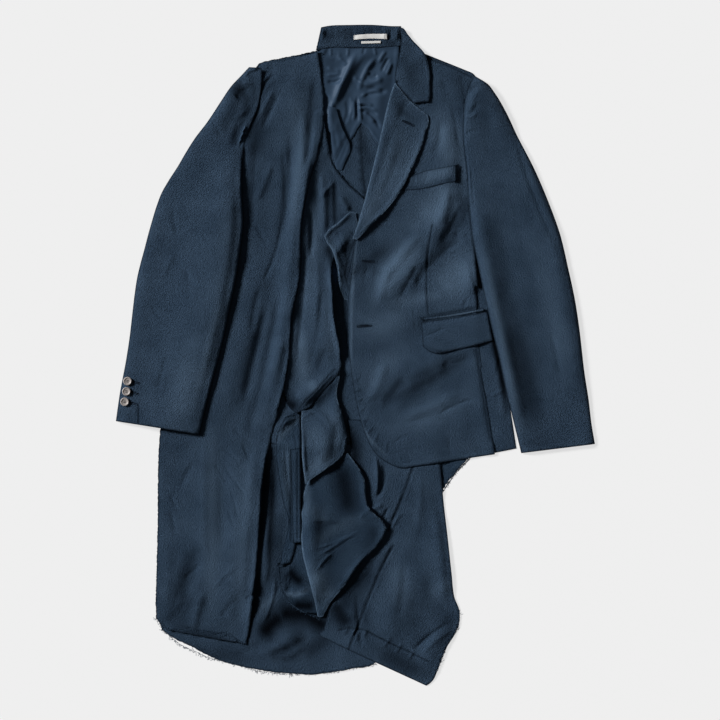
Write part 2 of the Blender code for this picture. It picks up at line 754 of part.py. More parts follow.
def lay_jacket():
    """Lays every piece in order; pieces in one step lie side by side on the same pile."""
    suiting = cloth_material("suiting")
    lining = cloth_material("lining")
    label = cloth_material("label")
    button = cloth_material("button")
    half_gap = SEAM_GAP / 2
    back_left = tuple((n, a, b, c - half_gap, d) for n, a, b, c, d in BACK_LEFT)
    back_right = tuple((n, a + half_gap, b, c, d) for n, a, b, c, d in BACK_RIGHT)
    skirt = tuple((n, a, b - SEAM_GAP, c, d - SEAM_GAP) if n == "skirt seam" else (n, a, b, c, d)
                  for n, a, b, c, d in BACK_SKIRT)
    under_left = inset_sections(SLEEVE_LEFT, SLEEVE_INSET, SLEEVE_INSET * 0.4)
    under_right = inset_sections(SLEEVE_RIGHT, SLEEVE_INSET, SLEEVE_INSET * 0.4)
    steps = (
        (("back_left", back_left, NO_FOLDS, suiting, dict(columns=4, pitch=70)),
         ("back_right", back_right, NO_FOLDS, suiting, dict(columns=4, pitch=70)),
         ("back_skirt", skirt, BACK_SKIRT_FOLDS, suiting, dict(columns=16, pitch=27, crowding=0.0))),
        (("back_remnant", BACK_REMNANT, NO_FOLDS, suiting, dict(columns=2, pitch=24)),),
        (("collar_back", COLLAR_BACK, NO_FOLDS, suiting, dict(columns=3, pitch=40, wall=COLLAR_CLOTH)),),
        (("back_lining", BACK_LINING, BACK_LINING_FOLDS, lining,
          dict(columns=10, pitch=14, wall=LINING, crowding=0.0)),),
        (("lining_tab", LINING_TAB, LINING_TAB_FOLDS, lining, dict(columns=3, pitch=16, wall=LINING)),),
        (("collar_stand", COLLAR_STAND, COLLAR_STAND_FOLDS, suiting,
          dict(columns=4, pitch=9, wall=COLLAR_CLOTH)),),
        (("neck_label", NECK_LABEL, NO_FOLDS, label, dict(columns=1, pitch=15, wall=LINING, gap=TAG_GAP)),
         ("size_tag", SIZE_TAG, NO_FOLDS, label, dict(columns=1, pitch=12, wall=LINING, gap=TAG_GAP))),
        (("side_right", SIDE_RIGHT, NO_FOLDS, suiting, dict(columns=3, pitch=30)),
         ("tail_panel", TAIL, TAIL_FOLDS, suiting, dict(columns=12, pitch=23, loft=1.0))),
        (("turned_edge", TURNED_EDGE, TURNED_EDGE_FOLDS, suiting, dict(columns=4, pitch=14)),),
        (("turned_panel", TURNED_PANEL, TURNED_PANEL_FOLDS, suiting, dict(columns=8, pitch=18, loft=1.5)),),
        (("inner_flap", INNER_FLAP, INNER_FLAP_FOLDS, suiting, dict(columns=5, pitch=15, loft=1.0)),),
        (("placket_strip", PLACKET_STRIP, NO_FOLDS, suiting, dict(columns=2, pitch=22)),),
        (("pouch", POUCH, POUCH_FOLDS, suiting, dict(columns=7, pitch=14, loft=5.0)),),
        (("front_left", FRONT_LEFT, FRONT_LEFT_FOLDS, suiting,
          dict(columns=13, pitch=32, loft=2.0, round_sides=("right",), round_radius=10)),),
        (("front_middle", FRONT_MID, FRONT_MID_FOLDS, suiting,
          dict(columns=7, pitch=25, loft=1.0, round_sides=("left",), round_radius=9)),),
        (("facing_tab", FACING_TAB, FACING_TAB_FOLDS, suiting, dict(columns=4, pitch=16)),),
        (("front_right", FRONT_RIGHT, FRONT_RIGHT_FOLDS, suiting, dict(columns=11, pitch=23, loft=0.5)),),
        (("breast_welt", BREAST_WELT, NO_FOLDS, suiting, dict(columns=2, pitch=20)),
         ("pocket_jet", POCKET_JET, NO_FOLDS, suiting, dict(columns=1, pitch=24)),
         ("pocket_flap", POCKET_FLAP, NO_FOLDS, suiting, dict(columns=3, pitch=18))),
        (("lapel", LAPEL, LAPEL_FOLDS, suiting,
          dict(columns=6, pitch=20, loft=1.0, round_sides=("left",), round_radius=8)),),
        (("collar_fall", COLLAR_FALL, COLLAR_FALL_FOLDS, suiting,
          dict(columns=5, pitch=14, wall=COLLAR_CLOTH, loft=1.0, round_sides=("left",), round_radius=8)),),
        (("under_sleeve_left", under_left, NO_FOLDS, suiting, dict(columns=3, pitch=45)),
         ("under_sleeve_right", under_right, NO_FOLDS, suiting, dict(columns=3, pitch=45))),
        (("top_sleeve_left", SLEEVE_LEFT, SLEEVE_LEFT_FOLDS, suiting,
          dict(columns=10, pitch=30, loft=6.0, round_sides=("left", "right"), round_radius=13, crowding=0.6)),
         ("top_sleeve_right", SLEEVE_RIGHT, SLEEVE_RIGHT_FOLDS, suiting,
          dict(columns=10, pitch=30, loft=5.0, round_sides=("left", "right"), round_radius=13, crowding=0.6))),
    )
    pile = Pile()
    for step in steps:
        tops = []
        for name, rows, folds, material, settings in step:
            vertices, faces, top = make_panel(pile, rows, folds, **settings)
            add_object(name, vertices, faces, material)
            tops.append(top)
        for top in tops:
            add_to_pile(pile, top)
    for number, centre in enumerate(BUTTON_CENTRES, start=1):
        vertices, faces = make_button(pile, centre)
        add_object(f"cuff_button_{number}", vertices, faces, button)


remove_scene_objects()
lay_jacket()
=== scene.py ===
"""Looks of the deconstructed jacket laid flat.

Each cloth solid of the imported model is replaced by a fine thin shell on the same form. The shell
has the creases, seams, puckers and raw edges of the cloth. The pieces are made from the lowest to
the highest, and each one stays clear of what lies under it. Tables are in millimetres: x to the
right, y towards the collar, heights up from the floor.
"""

import math

import bpy
import numpy as np
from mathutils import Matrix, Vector
from mathutils.geometry import delaunay_2d_cdt


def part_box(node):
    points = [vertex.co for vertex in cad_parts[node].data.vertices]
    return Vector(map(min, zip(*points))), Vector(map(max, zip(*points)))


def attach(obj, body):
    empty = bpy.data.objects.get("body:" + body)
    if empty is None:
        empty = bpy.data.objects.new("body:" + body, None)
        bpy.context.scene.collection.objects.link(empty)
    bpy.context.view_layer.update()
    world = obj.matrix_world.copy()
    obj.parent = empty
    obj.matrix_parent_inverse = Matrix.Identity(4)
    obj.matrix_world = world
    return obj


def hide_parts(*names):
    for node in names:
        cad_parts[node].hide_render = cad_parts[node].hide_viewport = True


MM = 0.001

# Height maps are on a square grid of this spacing, seen from above.
CELL = 1.0
GRID_LOW = (-450.0, -610.0)
GRID_COLUMNS = 901
GRID_ROWS = 1221
WINDOW_MARGIN = 16

# Air between a piece and what it lies on: free, where it is sewn down, and above the floor.
SHELL_CLEARANCE = 0.25
SEWN_CLEARANCE = 0.15
FLOOR_CLEARANCE = 0.05
LOWEST_UNDERSIDE = 0.03

# The form of a solid: how upright a face may be and still count as its top, the smoothing inside
# and at the edge, how far in the edge reaches, and the turn in degrees that makes a true corner.
TOP_FACING = 0.12
INNER_SMOOTHING = 5.0
EDGE_SMOOTHING = 2.5
EDGE_BAND = 14.0
CORNER_TURN = 36.0
OUTLINE_SPACING = 3.0

# The shell's mesh: spacing below, the room that inner points leave at the edge and how far they are
# moved at random, both as shares of the spacing, and the angle in degrees that makes a crisp rim.
UNDERSIDE_PITCH = 9.0
EDGE_MARGIN = 0.62
POINT_JITTER = 0.08
SHARP_ANGLE = 55.0

# Small waves of worn cloth. Each row: size, how much longer along the grain, height.
CLOTH_WAVES = (
    (16.0, 3.0, 0.55),
    (7.0, 2.2, 0.16),
    (3.0, 1.6, 0.035),
)

# A turned edge. The rim rolls down, and the turning and the press mark run beside it. Each row:
# name, distance from the rim, half width, height.
ROLL_REACH = 2.2
ROLL_DEPTH = 0.8
EDGE_BANDS = (
    ("turning", 4.5, 2.6, 0.25),
    ("press mark", 9.5, 1.6, -0.07),
)
PUCKER_HEIGHT = 0.22

# Pieces smaller than a square of this side have shallower detail. A rolled edge ends this far above
# the pile.
FULL_DETAIL_SIZE = 90.0
ROLLED_RIM_GAP = 0.3

# The share of its length over which each kind of row fades out at both ends, and how many half
# widths its field reaches.
CREASE_FADE = 0.25
SEAM_FADE = 0.04
RISE_FADE = 0.14
SEWN_FADE = 0.06
PAINTED_LIGHT_FADE = 0.3
CREASE_REACH = 3.2
TONE_REACH = 2.6

# The cloth drawn up beside a seam: its distance and width in half widths of the seam, and its height
# as a share of the seam's depth.
SEAM_LIP = 2.6
SEAM_LIP_WIDTH = 1.3
SEAM_LIP_HEIGHT = 0.3

# Only size_tag is narrower: it is 5 mm wide, and cut_size gives it this width, in metres.
LEAST_FLAT_SIDE = 0.0101

# How far a raw cut wavers, inwards and outwards.
RAW_EDGE_JAG = (-0.7, 0.5)

# Painted shade along the edges and darker seams: strength from 0 to 1, and the half width of the
# band painted along an edge. Edges get painted shade, but a painted highlight on the pieces whose
# edges catch the light.
PAINTED_EDGE_WIDTH = 1.8
PAINTED_EDGE_AMOUNT = 0.85
SEAM_SHADE = 0.75
PAINTED_LIT_EDGES = ("lapel", "facing_tab", "turned_panel", "pouch", "lining_tab")

# The photograph's frame in millimetres, the camera straight above it and the floor in metres, and
# the light. Its softness is in degrees.
FRAME_WIDTH = 1260.0
FRAME_CENTRE = (8.0, -8.0)
CAMERA_HEIGHT = 6.0
CAMERA_REACH = 50.0
SENSOR_WIDTH = 36.0
FLOOR_HALF = 16.0
FLOOR_GLOW = 0.8
LIGHT_FROM = (-0.78, 0.36, 0.44)
LIGHT_STRENGTH = 4.2
LIGHT_SOFTNESS = 14.0
AIR_STRENGTH = 0.05

# The suiting's surface. Real threads are about 0.5 mm apart, too fine to show, so they are drawn
# about 1.3 mm apart and longer one way. The patches are soft and about 50 mm across. The threads
# count by their weight beside the patches, and the range gives the darkest and palest sums.
THREADS_PER_MM = 0.75
THREAD_STRETCH = 0.4
PATCHES_PER_MM = 0.02
THREAD_WEIGHT = 0.55
TONE_RANGE = (0.72, 1.38)
THREAD_BUMP = 0.0044
SUITING_SPECULAR = 0.05
SUITING_SHEEN = 0.015

# Colours as sRGB hex.
NAVY_SUITING = "324458"
NAVY_SUITING_LIGHT = "485d74"
NAVY_REVERSE = "2d3f53"
NAVY_REVERSE_LIGHT = "3f546a"
# Painted shade and painted light, mixed into the suiting where the mesh stores them.
NAVY_PAINTED_SHADE = "050a12"
NAVY_PAINTED_LIGHT = "647d97"
SKY_GLOSS = "c0d0e4"
SKY_SHEEN = "6f8fb4"
NAVY_LINING = "283a4e"
NAVY_LINING_LIGHT = "3b4f65"
WHITE_TAPE = "e9e8e4"
WHITE_TAPE_LIGHT = "f8f7f4"
GREY_BUTTON = "a39b98"
GREY_BUTTON_LIGHT = "b8b0ab"
# Painted shade for the button's holes.
BUTTON_HOLE_SHADE = "0c0d10"
BUTTON_HOLE_SHADE_PALE = "111216"
BUTTON_THREAD = "1b222c"
BUTTON_THREAD_LIGHT = "2a333f"
NAVY_THREAD = "0a121d"
NAVY_THREAD_LIGHT = "121c2a"
FLOOR_GREY = "8a8a8a"
FLOOR_GLOW_COLOUR = "eeeeee"

# The pieces from the lowest to the highest. Each row: name of the CAD node, finish, mesh spacing,
# wall, grain direction in degrees from upright, edge, how it is held, what it lies on.
PANELS = (
    ("back_left", "suiting", 9.0, 1.1, 0, "turned", "laid", ()),
    ("back_right", "suiting", 4.0, 1.1, 0, "turned", "laid", ()),
    ("back_skirt", "suiting", 2.6, 1.1, 0, "raw", "laid", ()),
    ("back_remnant", "suiting_back", 2.6, 1.1, 0, "raw", "laid", ("back_skirt",)),
    ("collar_back", "suiting", 6.0, 1.2, 90, "turned", "folded", ("back_left", "back_right")),
    ("back_lining", "lining", 2.2, 0.8, 0, "turned", "gathered", ("back_left", "back_right")),
    ("lining_tab", "lining", 2.0, 0.8, 8, "turned", "gathered", ("back_lining",)),
    ("collar_stand", "suiting", 2.2, 1.2, 90, "turned", "folded", ("collar_back",)),
    ("neck_label", "label", 1.6, 0.6, 90, "turned", "laid", ("collar_stand",)),
    ("size_tag", "label", 1.6, 0.5, 90, "turned", "laid", ("collar_stand",)),
    ("side_right", "suiting", 2.4, 1.1, -8, "turned", "laid", ("back_right",)),
    ("tail_panel", "suiting", 2.4, 1.1, -14, "turned", "folded", ("back_skirt",)),
    ("turned_edge", "suiting_back", 2.2, 1.0, 12, "raw", "folded", ("back_skirt",)),
    ("turned_panel", "suiting_back", 2.2, 1.1, 24, "turned", "folded", ("tail_panel",)),
    ("inner_flap", "suiting_back", 2.2, 1.1, -4, "turned", "folded", ("back_skirt",)),
    ("placket_strip", "suiting_back", 2.0, 1.0, -2, "turned", "laid", ("inner_flap",)),
    ("pouch", "suiting", 2.2, 1.1, 20, "turned", "folded", ("turned_panel",)),
    ("front_middle", "suiting", 2.2, 1.1, 8, "turned", "folded", ("back_left", "pouch")),
    ("front_left", "suiting", 2.3, 1.1, 4, "raw", "folded",
     ("back_left", "back_skirt", "front_middle")),
    ("facing_tab", "suiting", 2.2, 1.1, 20, "turned", "folded", ("front_middle",)),
    ("front_right", "suiting", 2.3, 1.2, -3, "turned", "laid", ("back_right", "front_middle")),
    ("breast_welt", "suiting", 2.0, 1.0, 76, "turned", "laid", ("front_right",)),
    ("pocket_jet", "suiting", 1.6, 1.0, 84, "turned", "laid", ("front_right",)),
    ("pocket_flap", "suiting", 2.0, 1.1, -5, "turned", "laid", ("front_right",)),
    ("lapel", "suiting", 2.2, 1.3, -18, "turned", "folded", ("front_right",)),
    ("collar_fall", "suiting", 2.2, 1.3, -10, "turned", "folded", ("front_right", "lapel")),
    ("under_sleeve_left", "suiting", 8.0, 1.1, -14, "turned", "laid", ("back_left",)),
    ("under_sleeve_right", "suiting", 8.0, 1.1, 16, "turned", "laid", ("back_right",)),
    ("top_sleeve_left", "suiting", 2.4, 1.1, -14, "turned", "folded", ("under_sleeve_left",)),
    ("top_sleeve_right", "suiting", 2.4, 1.1, 16, "turned", "folded", ("under_sleeve_right",)),
)

# Creases placed one by one. Each row, under its node: name, start x, start y, middle x, middle y,
# end x, end y, half width, height (below zero for a trough).
CREASES = {
    "collar_stand": (
        ("gather 10", 80, 575, 82, 562, 80, 550, 2.4, -1.8),
        ("gather 9", 71, 575, 73, 562, 71, 550, 2.6, 2.0),
        ("gather 8", 60, 575, 62, 562, 60, 550, 2.6, -2.4),
        ("gather 7", 50, 575, 52, 562, 50, 550, 3, 2.2),
        ("gather 6", 29, 575, 31, 562, 29, 550, 2.6, -1.4),
        ("gather 5", 12, 575, 13, 562, 12, 550, 2.6, 1.4),
        ("gather 4", -6, 575, -4, 562, -6, 550, 2.6, -1.6),
        ("gather 3", -22, 575, -20, 562, -22, 550, 3, 1.6),
        ("gather 2", -39, 575, -38, 562, -39, 550, 3, -2.0),
        ("gather 1", -58, 575, -57, 562, -58, 550, 3, 1.8),
        ("stand dip 1", -52, 568, -48, 557, -44, 547, 3, -2.0),
        ("stand swell 1", -38, 570, -39, 557, -38, 547, 3, 1.6),
        ("stand dip 2", -18, 571, -20, 564, -22, 557, 2.6, -1.6),
        ("stand dip 3", 64, 570, 60, 559, 57, 547, 3, -2.0),
        ("stand swell 2", 73, 570, 71, 559, 69, 547, 2.6, 1.4),
        ("stand pucker 1", -34, 548, -32, 545, -30, 542, 1.8, 1.2),
        ("stand pucker 2", -25, 548, -24, 545, -24, 542, 1.8, 1.2),
        ("stand pucker 3", -15, 548, -13, 545, -13, 542, 1.8, 1.2),
        ("stand pucker 4", 52, 548, 52, 545, 50, 542, 1.8, 1.2),
        ("stand long", -58, 561, -44, 554, -24, 552, 3, -1.4),
    ),
    "front_left": (
        ("flat by the skirt edge", -181, -113, -197, -323, -206, -533, 14, -5.0),
        ("flat by the pleat", -125, 132, -148, 18, -188, -148, 9, -6.0),
        ("low upper pleat", -66, 412, -78, 290, -97, 167, 10, -4.0),
        ("armhole pull 1", -136, 489, -160, 472, -174, 433, 5, -4.0),
        ("armhole pull 1 ridge", -146, 494, -170, 475, -164, 489, 3, 1.5),
        ("armhole pull 2", -134, 458, -146, 431, -165, 394, 5, -3.6),
        ("armhole swell", -139, 468, -153, 447, -170, 408, 4, 2.2),
        ("shoulder shade", -156, 506, -148, 500, -137, 506, 6, -2.5),
        ("valley by the sleeve", -170, 394, -176, 316, -183, 211, 8, -4.5),
        ("pleat valley", -113, 386, -118, 272, -137, 184, 7, -3.6),
        ("pleat valley low", -153, 97, -170, 18, -197, -96, 9, -3.6),
        ("break from underarm", -184, 263, -164, 290, -146, 342, 6, 2.6),
        ("neck edge hollow", -69, 491, -74, 430, -76, 368, 7, -4.0),
        ("neck edge ridge", -90, 430, -92, 377, -92, 324, 7, 2.6),
        ("hem trough 1", -290, -402, -305, -446, -330, -470, 10, -4.0),
        ("hem trough 2", -263, -410, -277, -446, -284, -484, 8, 3.0),
        ("skirt trough", -234, -130, -232, -253, -235, -358, 12, -3.0),
        ("shoulder dip", -156, 510, -146, 496, -164, 472, 7, -2.5),
        ("armhole hollow", -169, 482, -174, 430, -188, 360, 8, -3),
        ("chest crease", -128, 363, -123, 307, -125, 262, 4, -1.8),
        ("chest crease low", -127, 246, -139, 181, -164, 123, 3.5, -1.8),
        ("side crease", -176, 234, -164, 209, -153, 192, 4, -1.5),
        ("side crease low", -164, 123, -176, 80, -181, 36, 6, -2),
        ("cross crease", -216, -124, -198, -141, -178, -153, 2.6, -1.8),
        ("cross ridge", -209, -116, -192, -132, -172, -144, 2.6, 1.0),
        ("fan crease 1", -234, -155, -220, -171, -202, -186, 2.6, -1.3),
        ("fan crease 2", -249, -186, -235, -206, -220, -228, 2.6, -1.3),
        ("fan crease 3", -234, -186, -216, -213, -188, -250, 2.4, -1.8),
        ("fan crease 4", -223, -228, -212, -253, -206, -292, 2.6, -1.3),
        ("fan crease 5", -223, -267, -216, -288, -209, -302, 3, -1.6),
        ("fan crease 6", -197, -148, -192, -166, -181, -186, 3, -1.4),
        ("left crease", -324, -242, -318, -256, -310, -269, 2.6, -1.8),
        ("left crease fall", -324, -270, -319, -288, -314, -314, 4, -1.3),
        ("left slant", -281, -186, -295, -208, -307, -232, 5, -1.8),
        ("skirt shadow", -272, -332, -290, -393, -310, -466, 15, -4.5),
        ("skirt shadow edge", -268, -362, -286, -379, -300, -393, 4, -2),
        ("hem slant", -248, -407, -226, -382, -206, -368, 4, 1.2),
        ("hem notch", -193, -428, -183, -421, -172, -414, 3, -2.5),
        ("hem slant low", -209, -428, -223, -442, -234, -463, 5, -1.2),
        ("soft rib 1", -262, -148, -265, -253, -262, -358, 9, 1.8),
        ("soft rib 3", -328, -323, -328, -393, -332, -454, 8, 1.2),
    ),
    "front_middle": (
        ("upright tuck", -34, 310, -34, 263, -32, 216, 5.5, -6.5),
        ("ridge by the tuck", -60, 324, -55, 263, -57, 202, 7, 4.5),
        ("upper shade", -44, 360, -44, 333, -30, 304, 6, -3.5),
        ("left dip", -81, 263, -76, 211, -81, 164, 5, -3.0),
        ("waist dip", -58, 123, -66, 44, -81, -29, 6, -2.6),
        ("hollow above the seam", -139, -87, -120, -78, -97, -64, 9, -5.0),
        ("seam fall", -44, -52, -36, -78, -29, -99, 6, -5.0),
        ("slant tuck", -38, 304, -50, 290, -62, 272, 3.5, 2),
        ("belly swell", -30, 279, -20, 267, -10, 251, 5, 3),
        ("under swell", -36, 246, -18, 248, -6, 249, 3, 1.5),
        ("waist furrow", -86, 211, -92, 97, -104, -26, 5, -2),
        ("soft rib", -69, 184, -66, 80, -76, -29, 6, 1.8),
        ("edge rib", -48, 164, -38, 97, -34, 18, 4, 2),
        ("low wave", -52, 13, -58, -8, -66, -29, 6, -1.6),
    ),
    "pouch": (
        ("right swell", -48, -71, -25, -127, -36, -172, 8, 3.0),
        ("arc crease", -90, -99, -66, -108, -44, -134, 2.6, -0.9),
        ("top roll", -90, -110, -69, -99, -44, -120, 4, 3),
        ("slit side", -92, -122, -90, -166, -88, -218, 2.5, 2),
    ),
    "inner_flap": (
        ("head hollow", -139, -82, -118, -85, -97, -97, 8, -4.0),
        ("roll crease", -127, -122, -114, -113, -100, -110, 3, 2),
        ("inner crease", -122, -148, -120, -200, -111, -270, 3, -1.2),
        ("pinch", -109, -134, -104, -148, -102, -162, 2.5, -2),
    ),
    "turned_panel": (
        ("upper hollow", -44, -174, -18, -218, -6, -270, 16, -7.0),
        ("middle shade", -66, -253, -58, -306, -71, -344, 9, -1.4),
        ("cross fold 1", -88, -290, -44, -288, 4, -293, 5, 1.6),
        ("cross fold 2", -66, -351, -36, -332, 8, -306, 2.6, 2.2),
        ("cross fold 3", -69, -337, -41, -328, -6, -312, 2.4, 1.6),
        ("cross fold 4", -67, -376, -55, -358, -39, -344, 2.4, 1.6),
        ("pucker up", 8, -288, 18, -274, 32, -267, 4, 2),
    ),
    "turned_edge": (
        ("hole", -123, -402, -111, -419, -97, -410, 7, -4.0),
        ("crescent crest", -123, -418, -102, -414, -81, -404, 3, 2),
    ),
    "tail_panel": (
        ("upper hollow", -8, -214, -6, -253, -11, -288, 8, -5.0),
        ("slope by the panel", 40, -358, 8, -402, -25, -438, 9, -4.5),
        ("right plateau", 134, -253, 148, -340, 155, -446, 9, 2.2),
        ("left slope", 85, -358, 85, -410, 73, -463, 8, -2.6),
        ("hem pucker 1", -25, -488, -16, -482, -15, -472, 2, 1.6),
        ("hem pucker 2", -8, -491, -2, -482, 1, -474, 2, 1.6),
        ("hem pucker 3", 12, -496, 17, -486, 18, -475, 2, 1.6),
        ("hem pucker 4", 48, -510, 57, -500, 62, -491, 2, 1.6),
        ("hem pucker 5", 69, -522, 76, -512, 82, -502, 2, 1.6),
        ("hem pucker 6", 92, -533, 99, -522, 104, -512, 2, 1.6),
        ("pucker 1", 15, -270, 32, -267, 50, -260, 3, 2.5),
        ("pucker 2", 12, -292, 36, -292, 60, -295, 3, 2),
        ("pucker 3", 18, -302, 29, -288, 40, -270, 2.6, -2),
        ("pucker 4", 43, -298, 50, -281, 60, -264, 2.6, -2),
        ("pucker 5", 60, -306, 71, -288, 83, -274, 3, 1.5),
        ("left fold", 31, -169, 38, -200, 36, -253, 3, 3),
        ("left hollow", 45, -186, 50, -218, 32, -256, 5, -3),
        ("right edge fold", 160, -253, 164, -323, 171, -410, 4, 1.5),
        ("corner fold", 169, -466, 134, -488, 99, -519, 4, -3),
        ("corner ridge", 174, -477, 141, -498, 113, -526, 4, 1.8),
        ("left trough", 3, -410, 6, -463, 12, -516, 5, -3),
        ("upper rib 1", 85, -218, 82, -253, 71, -288, 4, -1.2),
        ("upper rib 2", 113, -200, 113, -253, 106, -323, 6, 1.2),
        ("middle crease", 29, -410, 43, -358, 69, -323, 5, 1.2),
    ),
    "back_skirt": (
        ("flap hollow", -156, -148, -162, -253, -174, -358, 9, -4.0),
        ("hollow under the edge", -132, -449, -106, -460, -76, -446, 14, -6.0),
        ("crest below", -164, -512, -125, -524, -88, -498, 9, 4.0),
        ("hollow by the front", -181, -358, -183, -428, -186, -498, 8, -4.0),
        ("hem hollow left", -220, -524, -184, -516, -164, -498, 8, -3.0),
        ("hem hollow", -164, -519, -118, -516, -76, -484, 7, -3),
        ("strip crest", -141, -384, -146, -428, -164, -472, 3, 2),
        ("strip rib", -156, -288, -153, -358, -164, -410, 4, 1.5),
    ),
    "facing_tab": (
        ("tab crease 1", -34, 226, -25, 202, -10, 164, 2.4, -1.2),
        ("tab crease 2", -44, 202, -27, 164, -16, 123, 2.4, 1.0),
    ),
    "back_lining": (
        ("right swell", -6, 492, 12, 475, 36, 472, 4, 2.4),
        ("right fold 3", 1, 426, 18, 433, 40, 426, 3, 2.2),
        ("right fold 2", 15, 426, 32, 416, 43, 394, 3, -2.4),
        ("right fold 1", 8, 450, 27, 461, 50, 458, 3, 2.6),
        ("long ridge", 4, 534, -25, 473, -41, 426, 5.5, 3.4),
        ("long ridge foot", -39, 447, -43, 412, -29, 384, 4.5, 4.0),
        ("valley by the ridge", 24, 528, -8, 482, -29, 436, 6, -1.8),
        ("second ridge", 38, 522, 18, 496, 6, 461, 4.5, 3.6),
        ("neck hollow", -57, 531, -44, 526, -27, 522, 7, -3.5),
        ("left dimple 1", -30, 520, -22, 514, -15, 506, 3, 2.4),
        ("left dimple 2", -50, 506, -38, 498, -25, 500, 3, 2.0),
        ("left cross crease", -50, 480, -36, 478, -22, 486, 3, -2.6),
        ("left cross swell", -52, 491, -38, 491, -24, 496, 3, 1.8),
        ("left pleat", -55, 461, -48, 440, -50, 416, 4, -2.5),
        ("middle swell", 10, 475, 27, 477, 50, 486, 6, 3.6),
        ("middle hollow", 12, 459, 32, 459, 57, 464, 4.5, -3.6),
        ("middle dimple", 24, 496, 29, 489, 40, 487, 4, -3.2),
        ("right crease 1", 45, 494, 52, 510, 60, 522, 2.6, -2.6),
        ("right crease 2", 54, 489, 59, 501, 64, 514, 2.6, 2.2),
        ("right crease 3", 40, 510, 46, 522, 54, 534, 3, 2.2),
        ("cross crest", 4, 442, 20, 440, 32, 435, 3, 2.4),
        ("cross crest fall", 4, 436, 22, 433, 40, 417, 2.2, -2.4),
        ("tuck left", -4, 450, -2, 430, -4, 408, 2.4, 2.4),
        ("tuck right", 6, 450, 8, 430, 10, 407, 2.4, 2.4),
        ("tuck seam", 3, 456, 3, 433, 4, 408, 1.8, -2.2),
        ("lower swell", 12, 424, 22, 421, 34, 405, 4, 2.2),
        ("left fall", -18, 447, -13, 426, -22, 402, 4, -2.4),
        ("left fall ridge", -10, 454, -6, 436, -10, 416, 3, 1.8),
        ("neck gather 1", -44, 538, -43, 531, -43, 522, 2, 1.6),
        ("neck gather 2", -15, 538, -13, 531, -15, 522, 2, 1.5),
        ("neck gather 3", 15, 538, 15, 533, 13, 526, 2, -1.5),
        ("neck gather 4", 32, 540, 34, 533, 36, 524, 2, 1.6),
    ),
    "lining_tab": (
        ("tab fold", -30, 416, -18, 398, -22, 374, 4, 1.6),
        ("tab valley", -41, 408, -36, 384, -32, 360, 3.5, -2.4),
        ("hem fold", -16, 380, -25, 360, -38, 332, 2.2, -1.4),
        ("hem swell", -10, 374, -16, 352, -27, 328, 2.6, 1.2),
    ),
    "back_right": (
        ("crease by the seam", 15, 360, 20, 333, 26, 307, 1.8, -1.2),
    ),
    "front_right": (
        ("chest fall", 186, 293, 180, 246, 148, 193, 8, -5.0),
        ("chest crest", 158, 293, 158, 263, 141, 226, 9, 3.5),
        ("side crest", 204, 184, 204, 141, 200, 97, 14, 4.0),
        ("slant trough", 197, 206, 148, 174, 102, 114, 8, -4.5),
        ("slant crest", 120, 216, 85, 181, 48, 125, 9, 3.5),
        ("button shade", -13, 97, -6, 132, 18, 156, 8, -4.0),
        ("button crest", 57, 164, 50, 128, 40, 88, 8, 2.6),
        ("hip fall", 92, -36, 71, -64, 48, -92, 11, -5.0),
        ("hip crest", 54, -8, 40, -50, 18, -87, 9, 3.0),
        ("flap fall", 204, 6, 183, -12, 148, -18, 8, -4.0),
        ("hem swell", 74, -113, 130, -92, 186, -64, 10, 3.0),
        ("shoulder fall", 186, 492, 188, 464, 197, 426, 6, -3.0),
        ("lapel side dip", 144, 412, 148, 380, 134, 346, 7, -2.5),
        ("edge pucker 1", -4, -64, 3, -60, 10, -59, 2, 1.5),
        ("edge pucker 2", -1, -82, 6, -78, 13, -74, 2, 1.5),
        ("edge pucker 3", 4, -99, 12, -94, 18, -90, 2, 1.5),
        ("edge pucker 4", 10, -116, 18, -111, 24, -106, 2, 1.5),
        ("edge pucker 5", 20, -136, 26, -129, 31, -122, 2, 1.5),
        ("edge pucker 6", 32, -153, 36, -144, 40, -136, 2, 1.5),
        ("edge pucker 7", 52, -169, 54, -158, 55, -150, 2, 1.5),
        ("edge pucker 8", -8, -43, -1, -41, 8, -40, 2, 1.4),
        ("button hollow", 1, 150, 15, 142, 32, 156, 6, -1.6),
        ("armhole pull", 169, 447, 176, 403, 183, 360, 4, -1.2),
        ("chest dip", 148, 482, 166, 456, 176, 430, 8, -2),
        ("shoulder crease", 186, 482, 194, 456, 188, 430, 4, -1.6),
        ("dart hollow", 194, 272, 169, 228, 155, 193, 7, -3.5),
        ("side pull 1", 174, 216, 188, 207, 200, 211, 4, -2),
        ("side pull 2", 200, 167, 208, 132, 214, 97, 4, -1.5),
        ("pocket slant", 186, 80, 194, 94, 200, 104, 2.4, -1.6),
        ("slant low", 144, -106, 174, -88, 218, -74, 3, -1.4),
        ("lower slant", 113, -148, 92, -141, 60, -158, 4, -1.2),
        ("hem ripple 1", 78, -148, 82, -169, 85, -188, 4, -1),
        ("hem ripple 2", 113, -144, 115, -166, 116, -186, 3, -1),
        ("hem ripple 3", 162, -141, 166, -162, 169, -180, 4, -0.9),
        ("mouth pull", 102, 88, 104, 62, 106, 34, 3, -1.2),
        ("belly slant", 113, 164, 92, 125, 78, 97, 5, -1.5),
    ),
    "side_right": (
        ("fall by the sleeve", 234, 97, 248, 18, 269, -122, 7, -4.5),
        ("side crease 1", 253, 6, 248, -26, 236, -57, 4, -2),
        ("side crease 2", 232, -71, 246, -68, 262, -57, 2.6, 1.2),
        ("hole by the sleeve", 206, 170, 213, 132, 227, 100, 5, -4),
    ),
    "lapel": (
        ("collar end shade", 92, 450, 85, 430, 74, 408, 6, -2.0),
        ("roll hollow", 64, 403, 50, 342, 29, 281, 8, -2.4),
        ("lapel dip", 78, 360, 64, 316, 43, 272, 8, -1.6),
        ("lapel swell", 92, 290, 64, 262, 29, 234, 4, 1.6),
    ),
    "breast_welt": (
        ("welt pull 1", 102, 321, 104, 307, 97, 290, 2.4, -1.2),
        ("welt pull 2", 125, 328, 125, 312, 115, 293, 2.4, -1.2),
    ),
    "pocket_flap": (
